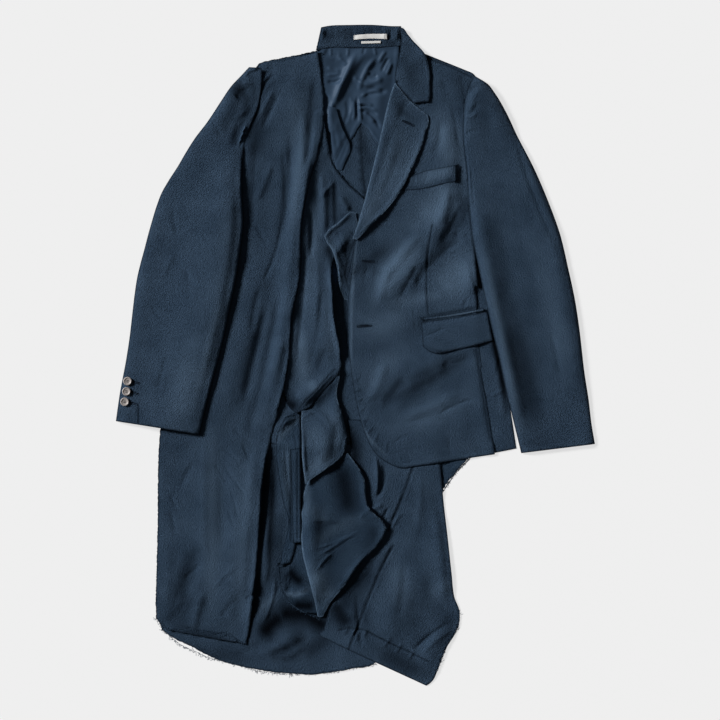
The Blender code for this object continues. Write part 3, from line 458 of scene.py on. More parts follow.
        ("flap crease 1", 116, 34, 138, 39, 158, 52, 2.6, -1.2),
    ),
    "top_sleeve_left": (
        ("flat by the inner edge", -206, 412, -223, 114, -290, -166, 22, -3.4),
        ("cap hollow", -209, 447, -195, 461, -188, 468, 9, -4.5),
        ("cap pucker 1", -197, 478, -188, 475, -179, 475, 3, 1.6),
        ("cap pucker 2", -202, 419, -192, 426, -181, 430, 3, 1.8),
        ("cap pucker 3", -206, 402, -197, 408, -188, 412, 2.6, 1.6),
        ("cap pucker 4", -197, 492, -186, 489, -178, 489, 2.6, 1.4),
        ("elbow crease 3", -324, 164, -300, 150, -279, 114, 4, -1.6),
        ("elbow crease 4", -356, 97, -342, 66, -314, 44, 4, -1.2),
        ("cap shade", -198, 468, -184, 458, -188, 433, 9, -3),
        ("cuff fold", -328, 6, -337, -29, -346, -64, 3.5, -1.2),
        ("elbow crease 1", -321, 258, -314, 223, -310, 202, 3.5, -1.2),
        ("elbow crease 2", -314, 181, -328, 156, -335, 132, 4, 1),
        ("forearm crease", -296, 164, -291, 123, -290, 88, 4, -1),
        ("upper crease", -251, 412, -240, 394, -234, 377, 4, -1),
    ),
    "top_sleeve_right": (
        ("lower shade", 267, 62, 288, -34, 312, -148, 12, -2.2),
        ("cap pull 3", 188, 377, 202, 391, 218, 388, 3, -1.4),
        ("forearm slant", 337, 44, 351, 6, 358, -43, 5, -1.4),
        ("cap pull 1", 186, 430, 200, 422, 216, 444, 3, -1.6),
        ("cap pull 2", 186, 416, 200, 416, 214, 426, 3, 1.4),
        ("fold line", 279, 386, 309, 290, 358, 176, 4, -1.6),
        ("fold line ridge", 288, 388, 320, 290, 368, 181, 4, 1.2),
        ("elbow tick", 302, 146, 312, 137, 323, 125, 3, -1),
    ),
}

# Sewn seams. Each row, under its node: name, half width, depth, the points that the seam follows.
SEAMS = {
    "front_right": (
        ("dart", 1.6, -0.9, ((134, 228), (127, 184), (124, 132), (125, 97), (127, 69))),
        ("shoulder seam", 1.6, -0.7, ((120, 522), (166, 505), (204, 486))),
    ),
    "front_middle": (
        ("seam by the pouch", 1.4, -0.7, ((-36, -24), (-50, -38), (-67, -59), (-85, -76), (-99, -94))),
    ),
    "inner_flap": (
        ("placket line", 1.4, -0.6, ((-113, -166), (-113, -253), (-113, -325))),
    ),
    "placket_strip": (
        ("strip line", 1.3, -0.6, ((-102, -169), (-102, -253), (-102, -320))),
    ),
    "tail_panel": (
        ("upper seam", 1.9, -1.5, ((101, -194), (87, -236), (69, -279), (57, -306))),
        ("lower seam", 1.9, -1.4,
         ((66, -332), (40, -384), (22, -428), (12, -454), (4, -477), (-11, -512))),
        ("hem seam", 1.7, -1.3,
         ((-30, -480), (-10, -477), (17, -480), (43, -494), (69, -507), (96, -519), (127, -535))),
    ),
    "back_lining": (
        ("hem right", 1.4, -0.6, ((20, 398), (31, 382), (43, 366))),
        ("hem left", 1.4, -0.6, ((-10, 375), (-4, 382), (3, 389))),
    ),
    "lining_tab": (
        ("tab hem", 1.4, -0.6, ((-22, 377), (-30, 360), (-39, 342))),
    ),
    "top_sleeve_left": (
        ("vent", 1.6, -0.8, ((-379, -120), (-379, -102), (-379, -87))),
    ),
    "facing_tab": (
        ("tab stitch line", 1.3, -0.5, ((-10, 216), (1, 206), (-8, 184), (-18, 141), (-6, 97))),
    ),
}

# Folded and free edges that stand up from what they lie on. Each row: node, name, start x, start y,
# end x, end y, half width, height, radius of the roll.
EDGE_RISES = (
    ("top_sleeve_left", "inner edge", -188, 360, -260, -120, 8, 4.0, 4.0),
    ("front_left", "pleat edge", -90, 164, -146, -127, 8, 5.5, 4.0),
    ("facing_tab", "curled edge", -6, 248, -25, 111, 6, 4.0, 2.0),
    ("front_left", "skirt edge", -142, -138, -184, -491, 8, 6.5, 4.5),
    ("front_middle", "right edge", -36, 251, -29, -26, 8, 6.0, 4.0),
    ("turned_panel", "right edge", -18, -174, -27, -421, 8, 5.0, 3.0),
    ("lapel", "free edge", 130, 416, 4, 206, 6, 2.5, 2.5),
    ("collar_fall", "free edge", 130, 500, 102, 436, 6, 0.6, 1.2),
    ("turned_edge", "free edge", -130, -376, -58, -458, 6, 3.0, 2.0),
)

# Painted light and painted shade in the cloth's colour: lit folds and faces are paler, and hollows
# and the cloth beside an edge are darker. They also stand in for relief that the shell lacks. Each
# row, under its node: name, start x, start y, middle x, middle y, end x, end y, half width, amount
# (below zero for painted shade).
PAINTED_LIGHT_ROWS = {
    "pocket_flap": (
        ("flap edge", 120, 18, 166, 6, 225, 24, 3, -0.5),
    ),
    "back_left": (
        ("under the lining", -6, 386, -18, 351, -6, 316, 12, -0.3),
    ),
    "back_right": (
        ("seam shade", 8, 398, 18, 360, 27, 321, 9, -0.4),
    ),
    "pocket_jet": (
        ("jet rim", 115, 58, 171, 69, 228, 81, 3, 1.0),
    ),
    "collar_fall": (
        ("collar shade", 74, 534, 96, 492, 113, 461, 10, -0.3),
    ),
    "facing_tab": (
        ("tab face", -46, 206, -38, 174, -27, 125, 6, 0.5),
        ("tab shade", -16, 216, -16, 176, -16, 123, 7, -0.6),
    ),
    "breast_welt": (
        ("welt face", 106, 307, 144, 319, 180, 332, 12, 0.6),
    ),
    "back_lining": (
        ("right shade", -16, 468, -6, 450, -10, 426, 6, -0.5),
        ("left hollow", -58, 514, -53, 468, -57, 426, 10, -0.6),
        ("neck hollow", -60, 538, -44, 528, -24, 531, 17, -0.9),
        ("middle face", -6, 447, 12, 461, 29, 468, 12, 0.35),
        ("ridge face", -20, 524, -38, 482, -44, 447, 6, 0.5),
    ),
    "top_sleeve_right": (
        ("elbow face", 314, 184, 344, 80, 368, -43, 18, 0.25),
        ("cap shade", 214, 468, 225, 430, 222, 377, 12, -0.35),
        ("outer edge", 267, 394, 358, 184, 396, -78, 12, -0.15),
        ("inner face", 228, 164, 256, 27, 288, -130, 8, 0.5),
        ("lower shade", 270, 80, 295, -34, 320, -148, 22, -0.6),
        ("upper shade", 253, 184, 258, 114, 267, 27, 14, -0.25),
    ),
    "top_sleeve_left": (
        ("cap hollow", -218, 475, -202, 461, -192, 440, 16, -0.7),
        ("edge face", -230, 111, -253, 18, -290, -99, 10, 0.6),
        ("forearm face", -279, 10, -300, -69, -314, -122, 24, 0.4),
        ("inner face", -209, 307, -226, 114, -276, -104, 22, 0.25),
    ),
    "side_right": (
        ("fall by the sleeve", 230, 66, 251, -17, 267, -99, 6, -1.0),
    ),
    "front_left": (
        ("left sleeve side", -234, 97, -244, 10, -262, -78, 8, 0.3),
        ("pleat face", -97, 430, -97, 342, -111, 220, 9, 0.35),
        ("pleat shade", -118, 394, -122, 307, -136, 211, 7, -0.3),
        ("low face", -290, -358, -307, -410, -314, -438, 14, -0.5),
        ("shoulder band", -202, 454, -181, 461, -153, 475, 14, -0.5),
        ("skirt crest", -251, -134, -248, -288, -253, -449, 13, 0.45),
        ("shoulder shade", -192, 461, -174, 398, -179, 328, 17, -0.65),
        ("hem edge", -332, -460, -268, -488, -195, -512, 10, -0.55),
        ("skirt face", -192, -148, -195, -306, -206, -463, 18, 0.25),
        ("neck shade", -66, 482, -71, 421, -72, 377, 10, -0.35),
        ("chest face", -104, 447, -100, 412, -97, 360, 20, 0.3),
        ("hem shade", -284, -410, -302, -454, -314, -484, 20, -0.45),
        ("band by the sleeve", -164, 394, -170, 290, -184, 184, 14, -0.25),
    ),
    "collar_stand": (
        ("left shade", -58, 570, -44, 556, -55, 545, 7, -0.5),
        ("right shade", 50, 562, 60, 548, 74, 542, 8, -0.5),
        ("stand", -58, 559, 8, 562, 74, 557, 18, -0.45),
    ),
    "turned_edge": (
        ("hole", -122, -368, -104, -390, -86, -400, 12, -1.0),
        ("under the crescent", -114, -435, -90, -438, -66, -438, 13, -1.0),
        ("crescent", -125, -414, -104, -418, -81, -407, 4, 0.8),
    ),
    "back_skirt": (
        ("band by the front", -146, -148, -146, -253, -156, -393, 8, -0.9),
        ("foot rim", -170, -526, -123, -516, -71, -488, 10, -0.5),
        ("foot hollow right", -111, -438, -76, -460, -38, -484, 20, -1.0),
        ("foot hollow", -170, -498, -146, -470, -118, -449, 21, -1.0),
        ("crest by the edge", -170, -449, -156, -435, -139, -421, 8, 0.5),
        ("hole", -122, -376, -108, -393, -94, -410, 16, -1.0),
        ("hollow under the turned edge", -146, -449, -106, -452, -66, -449, 26, -1.0),
        ("hollow by the front", -164, -358, -174, -428, -192, -516, 12, -0.7),
        ("hem shade", -310, -507, -254, -524, -176, -524, 16, -0.45),
        ("foot shade", -97, -524, -66, -507, -44, -484, 18, -0.6),
        ("gap by the flap", -156, -148, -160, -253, -170, -340, 12, -0.7),
    ),
    "turned_panel": (
        ("head face", -88, -218, -85, -253, -86, -288, 8, 0.5),
        ("upper hollow", -30, -180, -16, -236, -10, -292, 24, -0.85),
        ("corner shade", 18, -295, 31, -323, 4, -368, 14, -0.5),
        ("upper face", -83, -262, -66, -279, -44, -288, 12, 0.35),
        ("cross face", -76, -332, -36, -302, 8, -288, 10, 0.4),
        ("lower face", -80, -376, -62, -407, -57, -432, 18, 0.8),
        ("middle shade", -76, -253, -62, -288, -52, -332, 18, -0.35),
    ),
    "tail_panel": (
        ("tunnel beside the panel", -16, -113, -2, -180, -6, -253, 16, -0.9),
        ("hem shade", 36, -512, 87, -540, 130, -558, 18, -0.6),
        ("foot of the panel", -38, -424, -27, -452, -6, -477, 18, -0.9),
        ("middle face", 64, -358, 78, -402, 87, -446, 20, 0.35),
        ("slope shade", 4, -407, 12, -454, 8, -491, 14, -0.4),
        ("corner face", 130, -428, 148, -410, 169, -390, 16, 0.3),
        ("shade beside the panel", 43, -358, -6, -421, -41, -466, 22, -0.6),
        ("corner shade", 150, -446, 162, -477, 141, -516, 16, -0.4),
        ("fold shade", 99, -393, 85, -446, 74, -498, 20, -0.35),
    ),
    "inner_flap": (
        ("left face", -122, -157, -120, -209, -118, -262, 9, 0.45),
        ("left gap", -150, -148, -146, -218, -150, -306, 9, -0.9),
        ("flap head", -132, -99, -114, -82, -97, -92, 14, -0.95),
        ("rolled head", -137, -152, -114, -120, -97, -110, 6, 0.8),
        ("head hollow", -139, -82, -118, -85, -97, -97, 16, -0.6),
    ),
    "front_middle": (
        ("seam fall", -32, -29, -44, -57, -66, -82, 8, -0.9),
        ("head face", -83, -40, -69, -60, -58, -50, 10, 0.5),
        ("hollow above the seam", -142, -78, -122, -82, -97, -96, 14, -0.95),
        ("left foot", -100, 53, -94, -8, -92, -57, 13, 0.6),
        ("left face", -66, 307, -76, 202, -86, 62, 16, 0.3),
        ("right face", -52, 114, -41, 44, -38, -12, 14, 0.3),
        ("gap by the tab", -53, 198, -43, 174, -38, 146, 8, -0.85),
        ("tuck", -34, 310, -34, 263, -32, 216, 9, -0.5),
    ),
    "front_right": (
        ("armhole shade", 200, 360, 206, 290, 208, 211, 5, -0.5),
        ("above the jet", 110, 66, 169, 76, 228, 88, 3, -0.6),
        ("lower buttonhole", 3, 52, 15, 52, 27, 53, 2.4, -1.0),
        ("upper buttonhole", 10, 164, 20, 164, 32, 162, 2.4, -1.0),
        ("front edge low", -8, -29, 6, -113, 54, -174, 2.4, 0.6),
        ("front edge", 1, 198, -6, 97, -8, -29, 2.6, 0.8),
        ("hip fall", 32, -96, 120, -46, 211, 6, 10, -0.5),
        ("pocket face", 40, 86, 113, 100, 180, 114, 12, 0.5),
        ("button shade", -15, 125, 18, 160, 71, 195, 12, -0.5),
        ("dart shade", 194, 279, 166, 211, 130, 153, 9, -0.6),
        ("welt side", 186, 360, 190, 328, 180, 296, 10, 0.3),
        ("shoulder shade", 169, 506, 190, 464, 197, 412, 16, -0.35),
        ("chest", 110, 234, 144, 263, 169, 307, 26, 0.7),
        ("chest upper", 148, 416, 164, 368, 176, 324, 22, 0.6),
        ("side", 141, 111, 174, 136, 197, 170, 30, 0.75),
        ("slant", 40, 97, 68, 146, 113, 198, 22, 0.75),
        ("belly", 12, 53, 52, 58, 78, 88, 24, 0.45),
        ("hip face", 78, -122, 130, -104, 186, -78, 20, 0.35),
        ("hip low", 29, -69, 43, -29, 78, 6, 18, 0.35),
        ("arm fall", 194, 290, 186, 254, 169, 216, 12, -0.6),
        ("flap fall", 214, 6, 166, -12, 78, -52, 12, -0.4),
        ("pocket pull", 99, 44, 113, 58, 122, 76, 12, -0.3),
        ("hip", 99, -40, 74, -64, 52, -87, 22, -0.3),
    ),
    "lapel": (
        ("face shade", 62, 374, 71, 356, 64, 338, 11, -0.3),
        ("buttonhole", 83, 410, 92, 407, 102, 402, 2.2, -0.9),
        ("collar end shade", 68, 447, 82, 426, 96, 416, 9, -0.5),
        ("lapel hollow", 74, 380, 71, 356, 60, 332, 12, -0.35),
        ("lapel foot", 57, 310, 36, 272, 15, 226, 12, 0.5),
        ("lapel side", 113, 394, 92, 333, 50, 263, 16, 0.35),
        ("lapel face", 92, 394, 69, 342, 40, 272, 20, 0.4),
    ),
    "pouch": (
        ("under the seam", -80, -96, -52, -68, -27, -36, 8, -0.6),
        ("pouch right", -50, -99, -30, -130, -41, -166, 12, 0.45),
        ("pouch face", -86, -127, -66, -148, -52, -169, 20, 0.35),
        ("slot shade", -97, -127, -97, -144, -97, -166, 4, -0.9),
        ("pouch foot", -86, -208, -66, -190, -41, -169, 12, 0.7),
    ),
}

# Edges that run on under the piece sewn over them, so that no floor shows in the seam. Each row:
# node, left x, low y, right x, high y of the edge points that move, move in x, move in y.
UNDERLAPS = (
    ("back_right", 8, -160, 34, 535, -2.0, 0.0),
    ("front_right", 182, 120, 225, 470, 5.0, 0.0),
    ("front_right", 205, -20, 228, 120, 2.0, 0.0),
    ("front_left", -260, 180, -165, 480, -6.0, 0.0),
    ("back_right", 186, 200, 230, 470, 4.0, 0.0),
    ("side_right", 180, -60, 226, 262, -5.0, 0.0),
    ("back_left", -360, -160, 40, -146, 0.0, -6.0),
    ("back_right", 20, -160, 110, -146, 0.0, -6.0),
    ("back_lining", -80, 528, 90, 542, 0.0, 5.0),
)

# Edges that sway softly from the outline of their solid. Each row: node, centre x, centre y, radius,
# move in x.
EDGE_SWELLS = (
    ("front_left", -83, 234, 80, -11.0),
    ("front_middle", -86, 307, 32, -9.0),
    ("front_middle", -94, 228, 32, -9.0),
    ("front_middle", -100, 153, 32, -9.0),
    ("front_left", -100, 66, 62, -9.0),
    ("front_middle", -108, 66, 46, -11.0),
    ("pouch", -18, -68, 30, -13.0),
    ("pouch", -29, -152, 32, 11.0),
    ("front_left", -170, -253, 150, 9.0),
    ("top_sleeve_left", -206, 246, 110, 5.0),
    ("top_sleeve_left", -237, 18, 90, 7.0),
    ("front_middle", -32, 18, 40, 4.5),
)

# Sides that are sewn down to the piece under them. Each row, under its node: name, how far in the
# cloth comes down, the points of the side.
SEWN_SIDES = {
    "top_sleeve_left": (
        ("armhole", 20.0,
         ((-179, 503), (-170, 473), (-172, 447), (-184, 416), (-200, 382), (-204, 359))),
    ),
    "top_sleeve_right": (
        ("armhole", 12.0,
         ((214, 479), (194, 454), (186, 422), (185, 368), (194, 316), (197, 246), (204, 202))),
    ),
    "breast_welt": (
        ("left and foot", 9.0, ((94, 312), (82, 288), (116, 291), (146, 298), (176, 305))),
        ("right end", 3.0, ((179, 304), (179, 334))),
    ),
    "pocket_flap": (
        ("head", 9.0, ((115, 58), (174, 67), (230, 77))),
    ),
    "pocket_jet": (
        ("upper side", 9.0, ((113, 66), (170, 73), (224, 83))),
    ),
    "collar_fall": (
        ("gorge", 9.0, ((70, 479), (86, 456), (101, 441))),
    ),
    "collar_stand": (
        ("neck seam", 9.0, ((-69, 533), (-44, 538), (-10, 538), (34, 538), (64, 540), (80, 541))),
    ),
    "front_middle": (
        ("diagonal seam", 9.0, ((-31, -31), (-56, -60), (-84, -92), (-104, -101))),
    ),
    "neck_label": (
        ("ends", 9.0, ((-3, 552), (-3, 560))),
        ("right end", 9.0, ((55, 553), (55, 562))),
    ),
    "front_right": (
        ("side seam", 9.0, ((214, 24), (221, -26), (229, -80), (236, -122), (242, -160))),
        ("shoulder seam", 9.0, ((118, 529), (203, 495), (218, 476))),
    ),
    "front_left": (
        ("shoulder seam", 9.0, ((-178, 500), (-164, 513), (-66, 533))),
    ),
}

# Raw edges with threads coming out. Each row: node, name, threads a millimetre, longest thread,
# points of the edge, with the cloth on their right.
FRAYED_RUNS = (
    ("front_left", "neck_threads", 0.7, 3.5, ((-58, 528), (-57, 473), (-52, 394))),
    ("front_middle", "crossing_threads", 0.6, 3.0,
     ((-52, 393), (-41, 337), (-30, 321), (-10, 300), (15, 274))),
    ("front_left", "front_hem_threads", 0.9, 7.0,
     ((-190, -507), (-220, -489), (-272, -480), (-330, -479), (-349, -461))),
    ("back_skirt", "back_hem_threads", 0.8, 6.0,
     ((34, -540), (-44, -554), (-114, -559), (-167, -554), (-223, -538), (-263, -528), (-307, -507),
      (-340, -480))),
    ("back_remnant", "remnant_threads", 2.0, 9.0, ((152, -239), (174, -206), (200, -180))),
    ("tail_panel", "corner_threads", 1.3, 7.0,
     ((141, -554), (160, -507), (178, -480), (181, -463), (181, -446))),
    ("turned_edge", "turned_edge_threads", 1.0, 5.0,
     ((-62, -460), (-97, -447), (-123, -428), (-132, -402), (-136, -362))),
)

# Lines of sewing that show. Each row: node, name, stitch spacing, points of the line.
STITCH_LINES = (
    ("tail_panel", "hem_stitches", 3.4,
     ((-30, -480), (-10, -477), (17, -480), (43, -494), (69, -507), (96, -519), (127, -535))),
    ("lining_tab", "tab_stitches", 2.6, ((-22, 377), (-30, 360), (-39, 342))),
    ("back_lining", "lining_stitches", 2.6, ((20, 398), (31, 382), (43, 366))),
    ("facing_tab", "facing_stitches", 3.0,
     ((-43, 202), (-30, 216), (-13, 223), (-1, 209), (-6, 174), (-15, 132))),
    ("inner_flap", "placket_stitches", 3.0, ((-113, -169), (-113, -253), (-113, -321))),
    ("placket_strip", "strip_stitches", 3.0, ((-102, -172), (-102, -253), (-102, -316))),
    ("front_right", "dart_stitches", 3.0, ((134, 228), (127, 184), (124, 132), (125, 97), (127, 72))),
    ("breast_welt", "welt_stitches", 1.6, ((171, 330), (171, 305))),
    ("breast_welt", "welt_end_stitches", 1.6, ((177, 330), (177, 305))),
    ("front_middle", "seam_stitches", 3.0,
     ((-36, -24), (-50, -38), (-67, -59), (-85, -76), (-99, -94))),
    ("neck_label", "label_stitches", 1.5, ((-2, 559), (-2, 552))),
    ("neck_label", "label_end_stitches", 1.5, ((51, 560), (51, 553))),
)

# Worked buttonholes. Each row: node, name, the slit's start x, start y, end x, end y.
BUTTONHOLES = (
    ("front_right", "upper_buttonhole", 12, 165, 32, 164),
    ("front_right", "lower_buttonhole", 4, 50, 28, 52),
    ("lapel", "lapel_buttonhole", 83, 410, 102, 401),
    ("top_sleeve_left", "cuff_buttonhole_1", -389, -46, -377, -49),
    ("top_sleeve_left", "cuff_buttonhole_2", -391, -64, -379, -68),
    ("top_sleeve_left", "cuff_buttonhole_3", -394, -82, -381, -86),
)

# Loose threads: radius, the part that stays in the cloth, and how unevenly they lean and curl.
THREAD_RADIUS = 0.3
THREAD_ROOT = 1.6
THREAD_LEAN = 0.75
THREAD_CURL = 0.35
THREAD_SEGMENTS = 5

# Stitches: how much of the spacing each one takes, and its section along its length. Each row:
# share of the length, share of the radius, height as a share of the diameter.
STITCH_LENGTH_SHARE = 0.62
STITCH_RADIUS = 0.42
STITCH_SIDES = 5
STITCH_LIFT = 0.12
STITCH_SECTION = (
    (0.0, 0.35, -0.35),
    (0.3, 1.0, 0.0),
    (0.7, 1.0, 0.0),
    (1.0, 0.35, -0.35),
)

# A worked buttonhole: stitch spacing, place of a lip beside the slit, half length of its stitches,
# and the directions and reach of the stitches round each end.
LIP_SPACING = 0.8
LIP_OFFSET = 1.15
LIP_HALF = 0.85
END_TURNS = (-0.9, 0.0, 0.9)
END_REACH = (0.4, 2.0)
BUTTONHOLE_LIFT = 0.15

# A button, and the thin dark disc of painted shade that stands for each of its four holes, seen
# in section. Each row: radius as a share, height.
BUTTON_SIDES = 48
BUTTON_SECTION = (
    (0.80, 0.0), (0.93, 0.25), (1.0, 0.9), (1.0, 1.7), (0.97, 2.3), (0.92, 2.75), (0.84, 2.9),
    (0.76, 2.8), (0.68, 2.35), (0.6, 1.95), (0.5, 1.85), (0.25, 1.8),
)
BUTTON_FACE = 1.8
HOLE_OFFSET = 1.25
HOLE_RADIUS = 0.8
HOLE_SIDES = 14
HOLE_SECTION = ((0.9, 0.0), (1.0, 0.08), (0.6, 0.1))

# Strands of thread over each pair of holes. Each row: shift in y, radius.
STRAND_HALF = 1.5
STRAND_LIFT = 0.35
BUTTON_STRANDS = ((0.0, 0.38), (0.5, 0.3))


def srgb(code):
    """Linear colour of an sRGB hex value."""
    shares = [int(code[place:place + 2], 16) / 255 for place in (0, 2, 4)]
    linear = [s / 12.92 if s <= 0.04045 else ((s + 0.055) / 1.055) ** 2.4 for s in shares]
    return (*linear, 1.0)


def add_node(tree, kind, settings=(), values=(), links=()):
    """Adds a shader node with its settings, socket values and the sockets that feed it."""
    node = tree.nodes.new(kind)
    for name, value in settings:
        setattr(node, name, value)
    for name, value in values:
        node.inputs[name].default_value = value
    for name, source in links:
        tree.links.new(source, node.inputs[name])
    return node


def blur(field, sigma_x, sigma_y=None):
    """Soft average of a height map, made of three running means each way."""
    sigmas = (sigma_x if sigma_y is None else sigma_y, sigma_x)
    for axis, sigma in enumerate(sigmas):
        radius = int(round(math.sqrt(sigma * sigma * 4 / CELL / CELL + 1) / 2))
        if radius < 1:
            continue
        for _ in range(3):
            pads = [(0, 0), (0, 0)]
            pads[axis] = (radius + 1, radius)
            sums = np.cumsum(np.pad(field, pads, mode="edge"), axis=axis)
            width = 2 * radius + 1
            if axis == 0:
                field = (sums[width:] - sums[:-width]) / width
            else:
                field = (sums[:, width:] - sums[:, :-width]) / width
    return field


def spread(field, cells, highest=True):
    """Largest or smallest value within some cells of each cell."""
    choose = np.maximum if highest else np.minimum
    for axis in (0, 1):
        padded = np.pad(field, [(cells, cells) if a == axis else (0, 0) for a in (0, 1)], mode="edge")
        length = field.shape[axis]
        result = field
        for shift in range(2 * cells + 1):
            part = padded[shift:shift + length] if axis == 0 else padded[:, shift:shift + length]
            result = choose(result, part)
        field = result
    return field


class Window:
    """Part of the grid around one panel: where it starts and how to read a field in it."""

    def __init__(self, outline):
        low = np.floor((outline.min(axis=0) - GRID_LOW) / CELL).astype(int) - WINDOW_MARGIN
        high = np.ceil((outline.max(axis=0) - GRID_LOW) / CELL).astype(int) + WINDOW_MARGIN
        low = np.maximum(low, 0)
        high = np.minimum(high, (GRID_COLUMNS - 1, GRID_ROWS - 1))
        self.low = low
        self.rows = slice(low[1], high[1] + 1)
        self.columns = slice(low[0], high[0] + 1)
        self.x = GRID_LOW[0] + CELL * np.arange(low[0], high[0] + 1)
        self.y = GRID_LOW[1] + CELL * np.arange(low[1], high[1] + 1)
        self.shape = (len(self.y), len(self.x))

    def sample(self, field, points):
        """Values of a field between its cells."""
        place_x = np.clip((points[:, 0] - self.x[0]) / CELL, 0, self.shape[1] - 1.001)
        place_y = np.clip((points[:, 1] - self.y[0]) / CELL, 0, self.shape[0] - 1.001)
        column = place_x.astype(int)
        row = place_y.astype(int)
        over = place_x - column
        up = place_y - row
        low = field[row, column] * (1 - over) + field[row, column + 1] * over
        high = field[row + 1, column] * (1 - over) + field[row + 1, column + 1] * over
        return low * (1 - up) + high * up


def mesh_points(mesh):
    """Vertices of a mesh in millimetres."""
    places = np.zeros(len(mesh.vertices) * 3)
    mesh.vertices.foreach_get("co", places)
    return places.reshape(-1, 3) / MM


def boundary_loop(triangles):
    """The longest loop of corners round a set of triangles."""
    pairs = set()
    for a, b, c in triangles:
        pairs.update(((a, b), (b, c), (c, a)))
    follow = {a: b for a, b in pairs if (b, a) not in pairs}
    best = []
    while follow:
        start, here = follow.popitem()
        loop = [start]
        while here != start and here in follow:
            loop.append(here)
            here = follow.pop(here)
        if len(loop) > len(best):
            best = loop
    return best


def solid_top(node):
    """Vertices and upward triangles of a CAD node in millimetres, and the loop round them."""
    mesh = node.data
    mesh.calc_loop_triangles()
    corners = mesh_points(mesh)
    triangles = np.zeros(len(mesh.loop_triangles) * 3, dtype=np.int32)
    mesh.loop_triangles.foreach_get("vertices", triangles)
    triangles = triangles.reshape(-1, 3)
    keys = np.round(corners, 2)
    _, first, merged = np.unique(keys, axis=0, return_index=True, return_inverse=True)
    corners = corners[first]
    triangles = merged.reshape(-1)[triangles]
    sides = corners[triangles]
    normals = np.cross(sides[:, 1] - sides[:, 0], sides[:, 2] - sides[:, 0])
    lengths = np.maximum(np.linalg.norm(normals, axis=1), 1e-9)
    top = triangles[normals[:, 2] / lengths > TOP_FACING]
    return corners, top, corners[boundary_loop(top)][:, :2]


def fine_outline(loop, spacing):
    """The loop with smooth curves between its true corners, at an even spacing."""
    ahead = np.roll(loop, -1, axis=0) - loop
    behind = loop - np.roll(loop, 1, axis=0)
    cross = behind[:, 0] * ahead[:, 1] - behind[:, 1] * ahead[:, 0]
    dot = (behind * ahead).sum(axis=1)
    turns = np.degrees(np.abs(np.arctan2(cross, dot)))
    corners = turns > CORNER_TURN
    count = len(loop)
    spans = np.linalg.norm(ahead, axis=1)
    tangents = np.zeros_like(loop)
    for index in range(count):
        before = spans[index - 1]
        after = spans[index]
        slope_before = behind[index] / max(before, 1e-6)
        slope_after = ahead[index] / max(after, 1e-6)
        tangents[index] = (slope_before * after + slope_after * before) / max(before + after, 1e-6)
    points = []
    for index in range(count):
        after = (index + 1) % count
        span = spans[index]
        start = ahead[index] / span if corners[index] else tangents[index]
        finish = ahead[index] / span if corners[after] else tangents[after]
        pieces = max(1, int(round(span / spacing)))
        for piece in range(pieces):
            t = piece / pieces
            part_one = (1 + 2 * t) * (1 - t) ** 2 * loop[index] + t * (1 - t) ** 2 * span * start
            part_two = t * t * (3 - 2 * t) * loop[after] + t * t * (t - 1) * span * finish
            points.append(part_one + part_two)
    return np.array(points)


def fill_mask(window, outline):
    """Cells inside a closed outline."""
    mask = np.zeros(window.shape, dtype=bool)
    start = outline
    finish = np.roll(outline, -1, axis=0)
    for row, level in enumerate(window.y):
        crossing = (start[:, 1] <= level) != (finish[:, 1] <= level)
        if not crossing.any():
            continue
        a = start[crossing]
        b = finish[crossing]
        places = np.sort(a[:, 0] + (level - a[:, 1]) / (b[:, 1] - a[:, 1]) * (b[:, 0] - a[:, 0]))
        for left, right in zip(places[0::2], places[1::2]):
            mask[row] |= (window.x >= left) & (window.x <= right)
    return mask


def raster(window, corners, triangles):
    """Height of a triangle mesh on the grid, and the cells that it covers."""
    field = np.zeros(window.shape)
    found = np.zeros(window.shape, dtype=bool)
    for triangle in triangles:
        a, b, c = corners[triangle]
        low_x = int(np.floor((min(a[0], b[0], c[0]) - window.x[0]) / CELL))
        high_x = int(np.ceil((max(a[0], b[0], c[0]) - window.x[0]) / CELL)) + 1
        low_y = int(np.floor((min(a[1], b[1], c[1]) - window.y[0]) / CELL))
        high_y = int(np.ceil((max(a[1], b[1], c[1]) - window.y[0]) / CELL)) + 1
        x = window.x[low_x:high_x][None, :] - a[0]
        y = window.y[low_y:high_y][:, None] - a[1]
        one = b - a
        two = c - a
        area = one[0] * two[1] - one[1] * two[0]
        second = (x * two[1] - y * two[0]) / area
        third = (one[0] * y - one[1] * x) / area
        inside = (second >= -1e-6) & (third >= -1e-6) & (second + third <= 1 + 1e-6)
        height = a[2] + second * one[2] + third * two[2]
        part = (slice(low_y, high_y), slice(low_x, high_x))
        field[part] = np.where(inside, height, field[part])
        found[part] |= inside
    return field, found


def softened(field, found, sigma):
    """A field averaged over the cells that have a value."""
    weight = blur(found.astype(float), sigma)
    total = blur(np.where(found, field, 0.0), sigma)
    return total / np.maximum(weight, 1e-6), weight


def edge_distance(window, mask, outline):
    """Distance from the outline and place along it, for the cells near the edge."""
    distance = np.full(window.shape, EDGE_BAND)
    along = np.zeros(window.shape)
    near = spread(mask.astype(float), int(EDGE_BAND), highest=False) < 0.5
    near &= spread(mask.astype(float), 3) > 0.5
    rows, columns = np.nonzero(near)
    spans = np.linalg.norm(np.roll(outline, -1, axis=0) - outline, axis=1)
    marks = np.concatenate(([0.0], np.cumsum(spans)[:-1]))
    places = np.stack((window.x[columns], window.y[rows]), axis=1)
    for first in range(0, len(places), 4000):
        part = places[first:first + 4000]
        gaps = ((part[:, None, :] - outline[None, :, :]) ** 2).sum(axis=2)
        nearest = gaps.argmin(axis=1)
        cells = (rows[first:first + 4000], columns[first:first + 4000])
        distance[cells] = np.minimum(np.sqrt(gaps.min(axis=1)), EDGE_BAND)
        along[cells] = marks[nearest]
    return np.where(mask, distance, 0.0), along


def smooth_step(value):
    """Rises from 0 to 1 with a soft start and finish."""
    value = np.clip(value, 0.0, 1.0)
    return value * value * (3 - 2 * value)


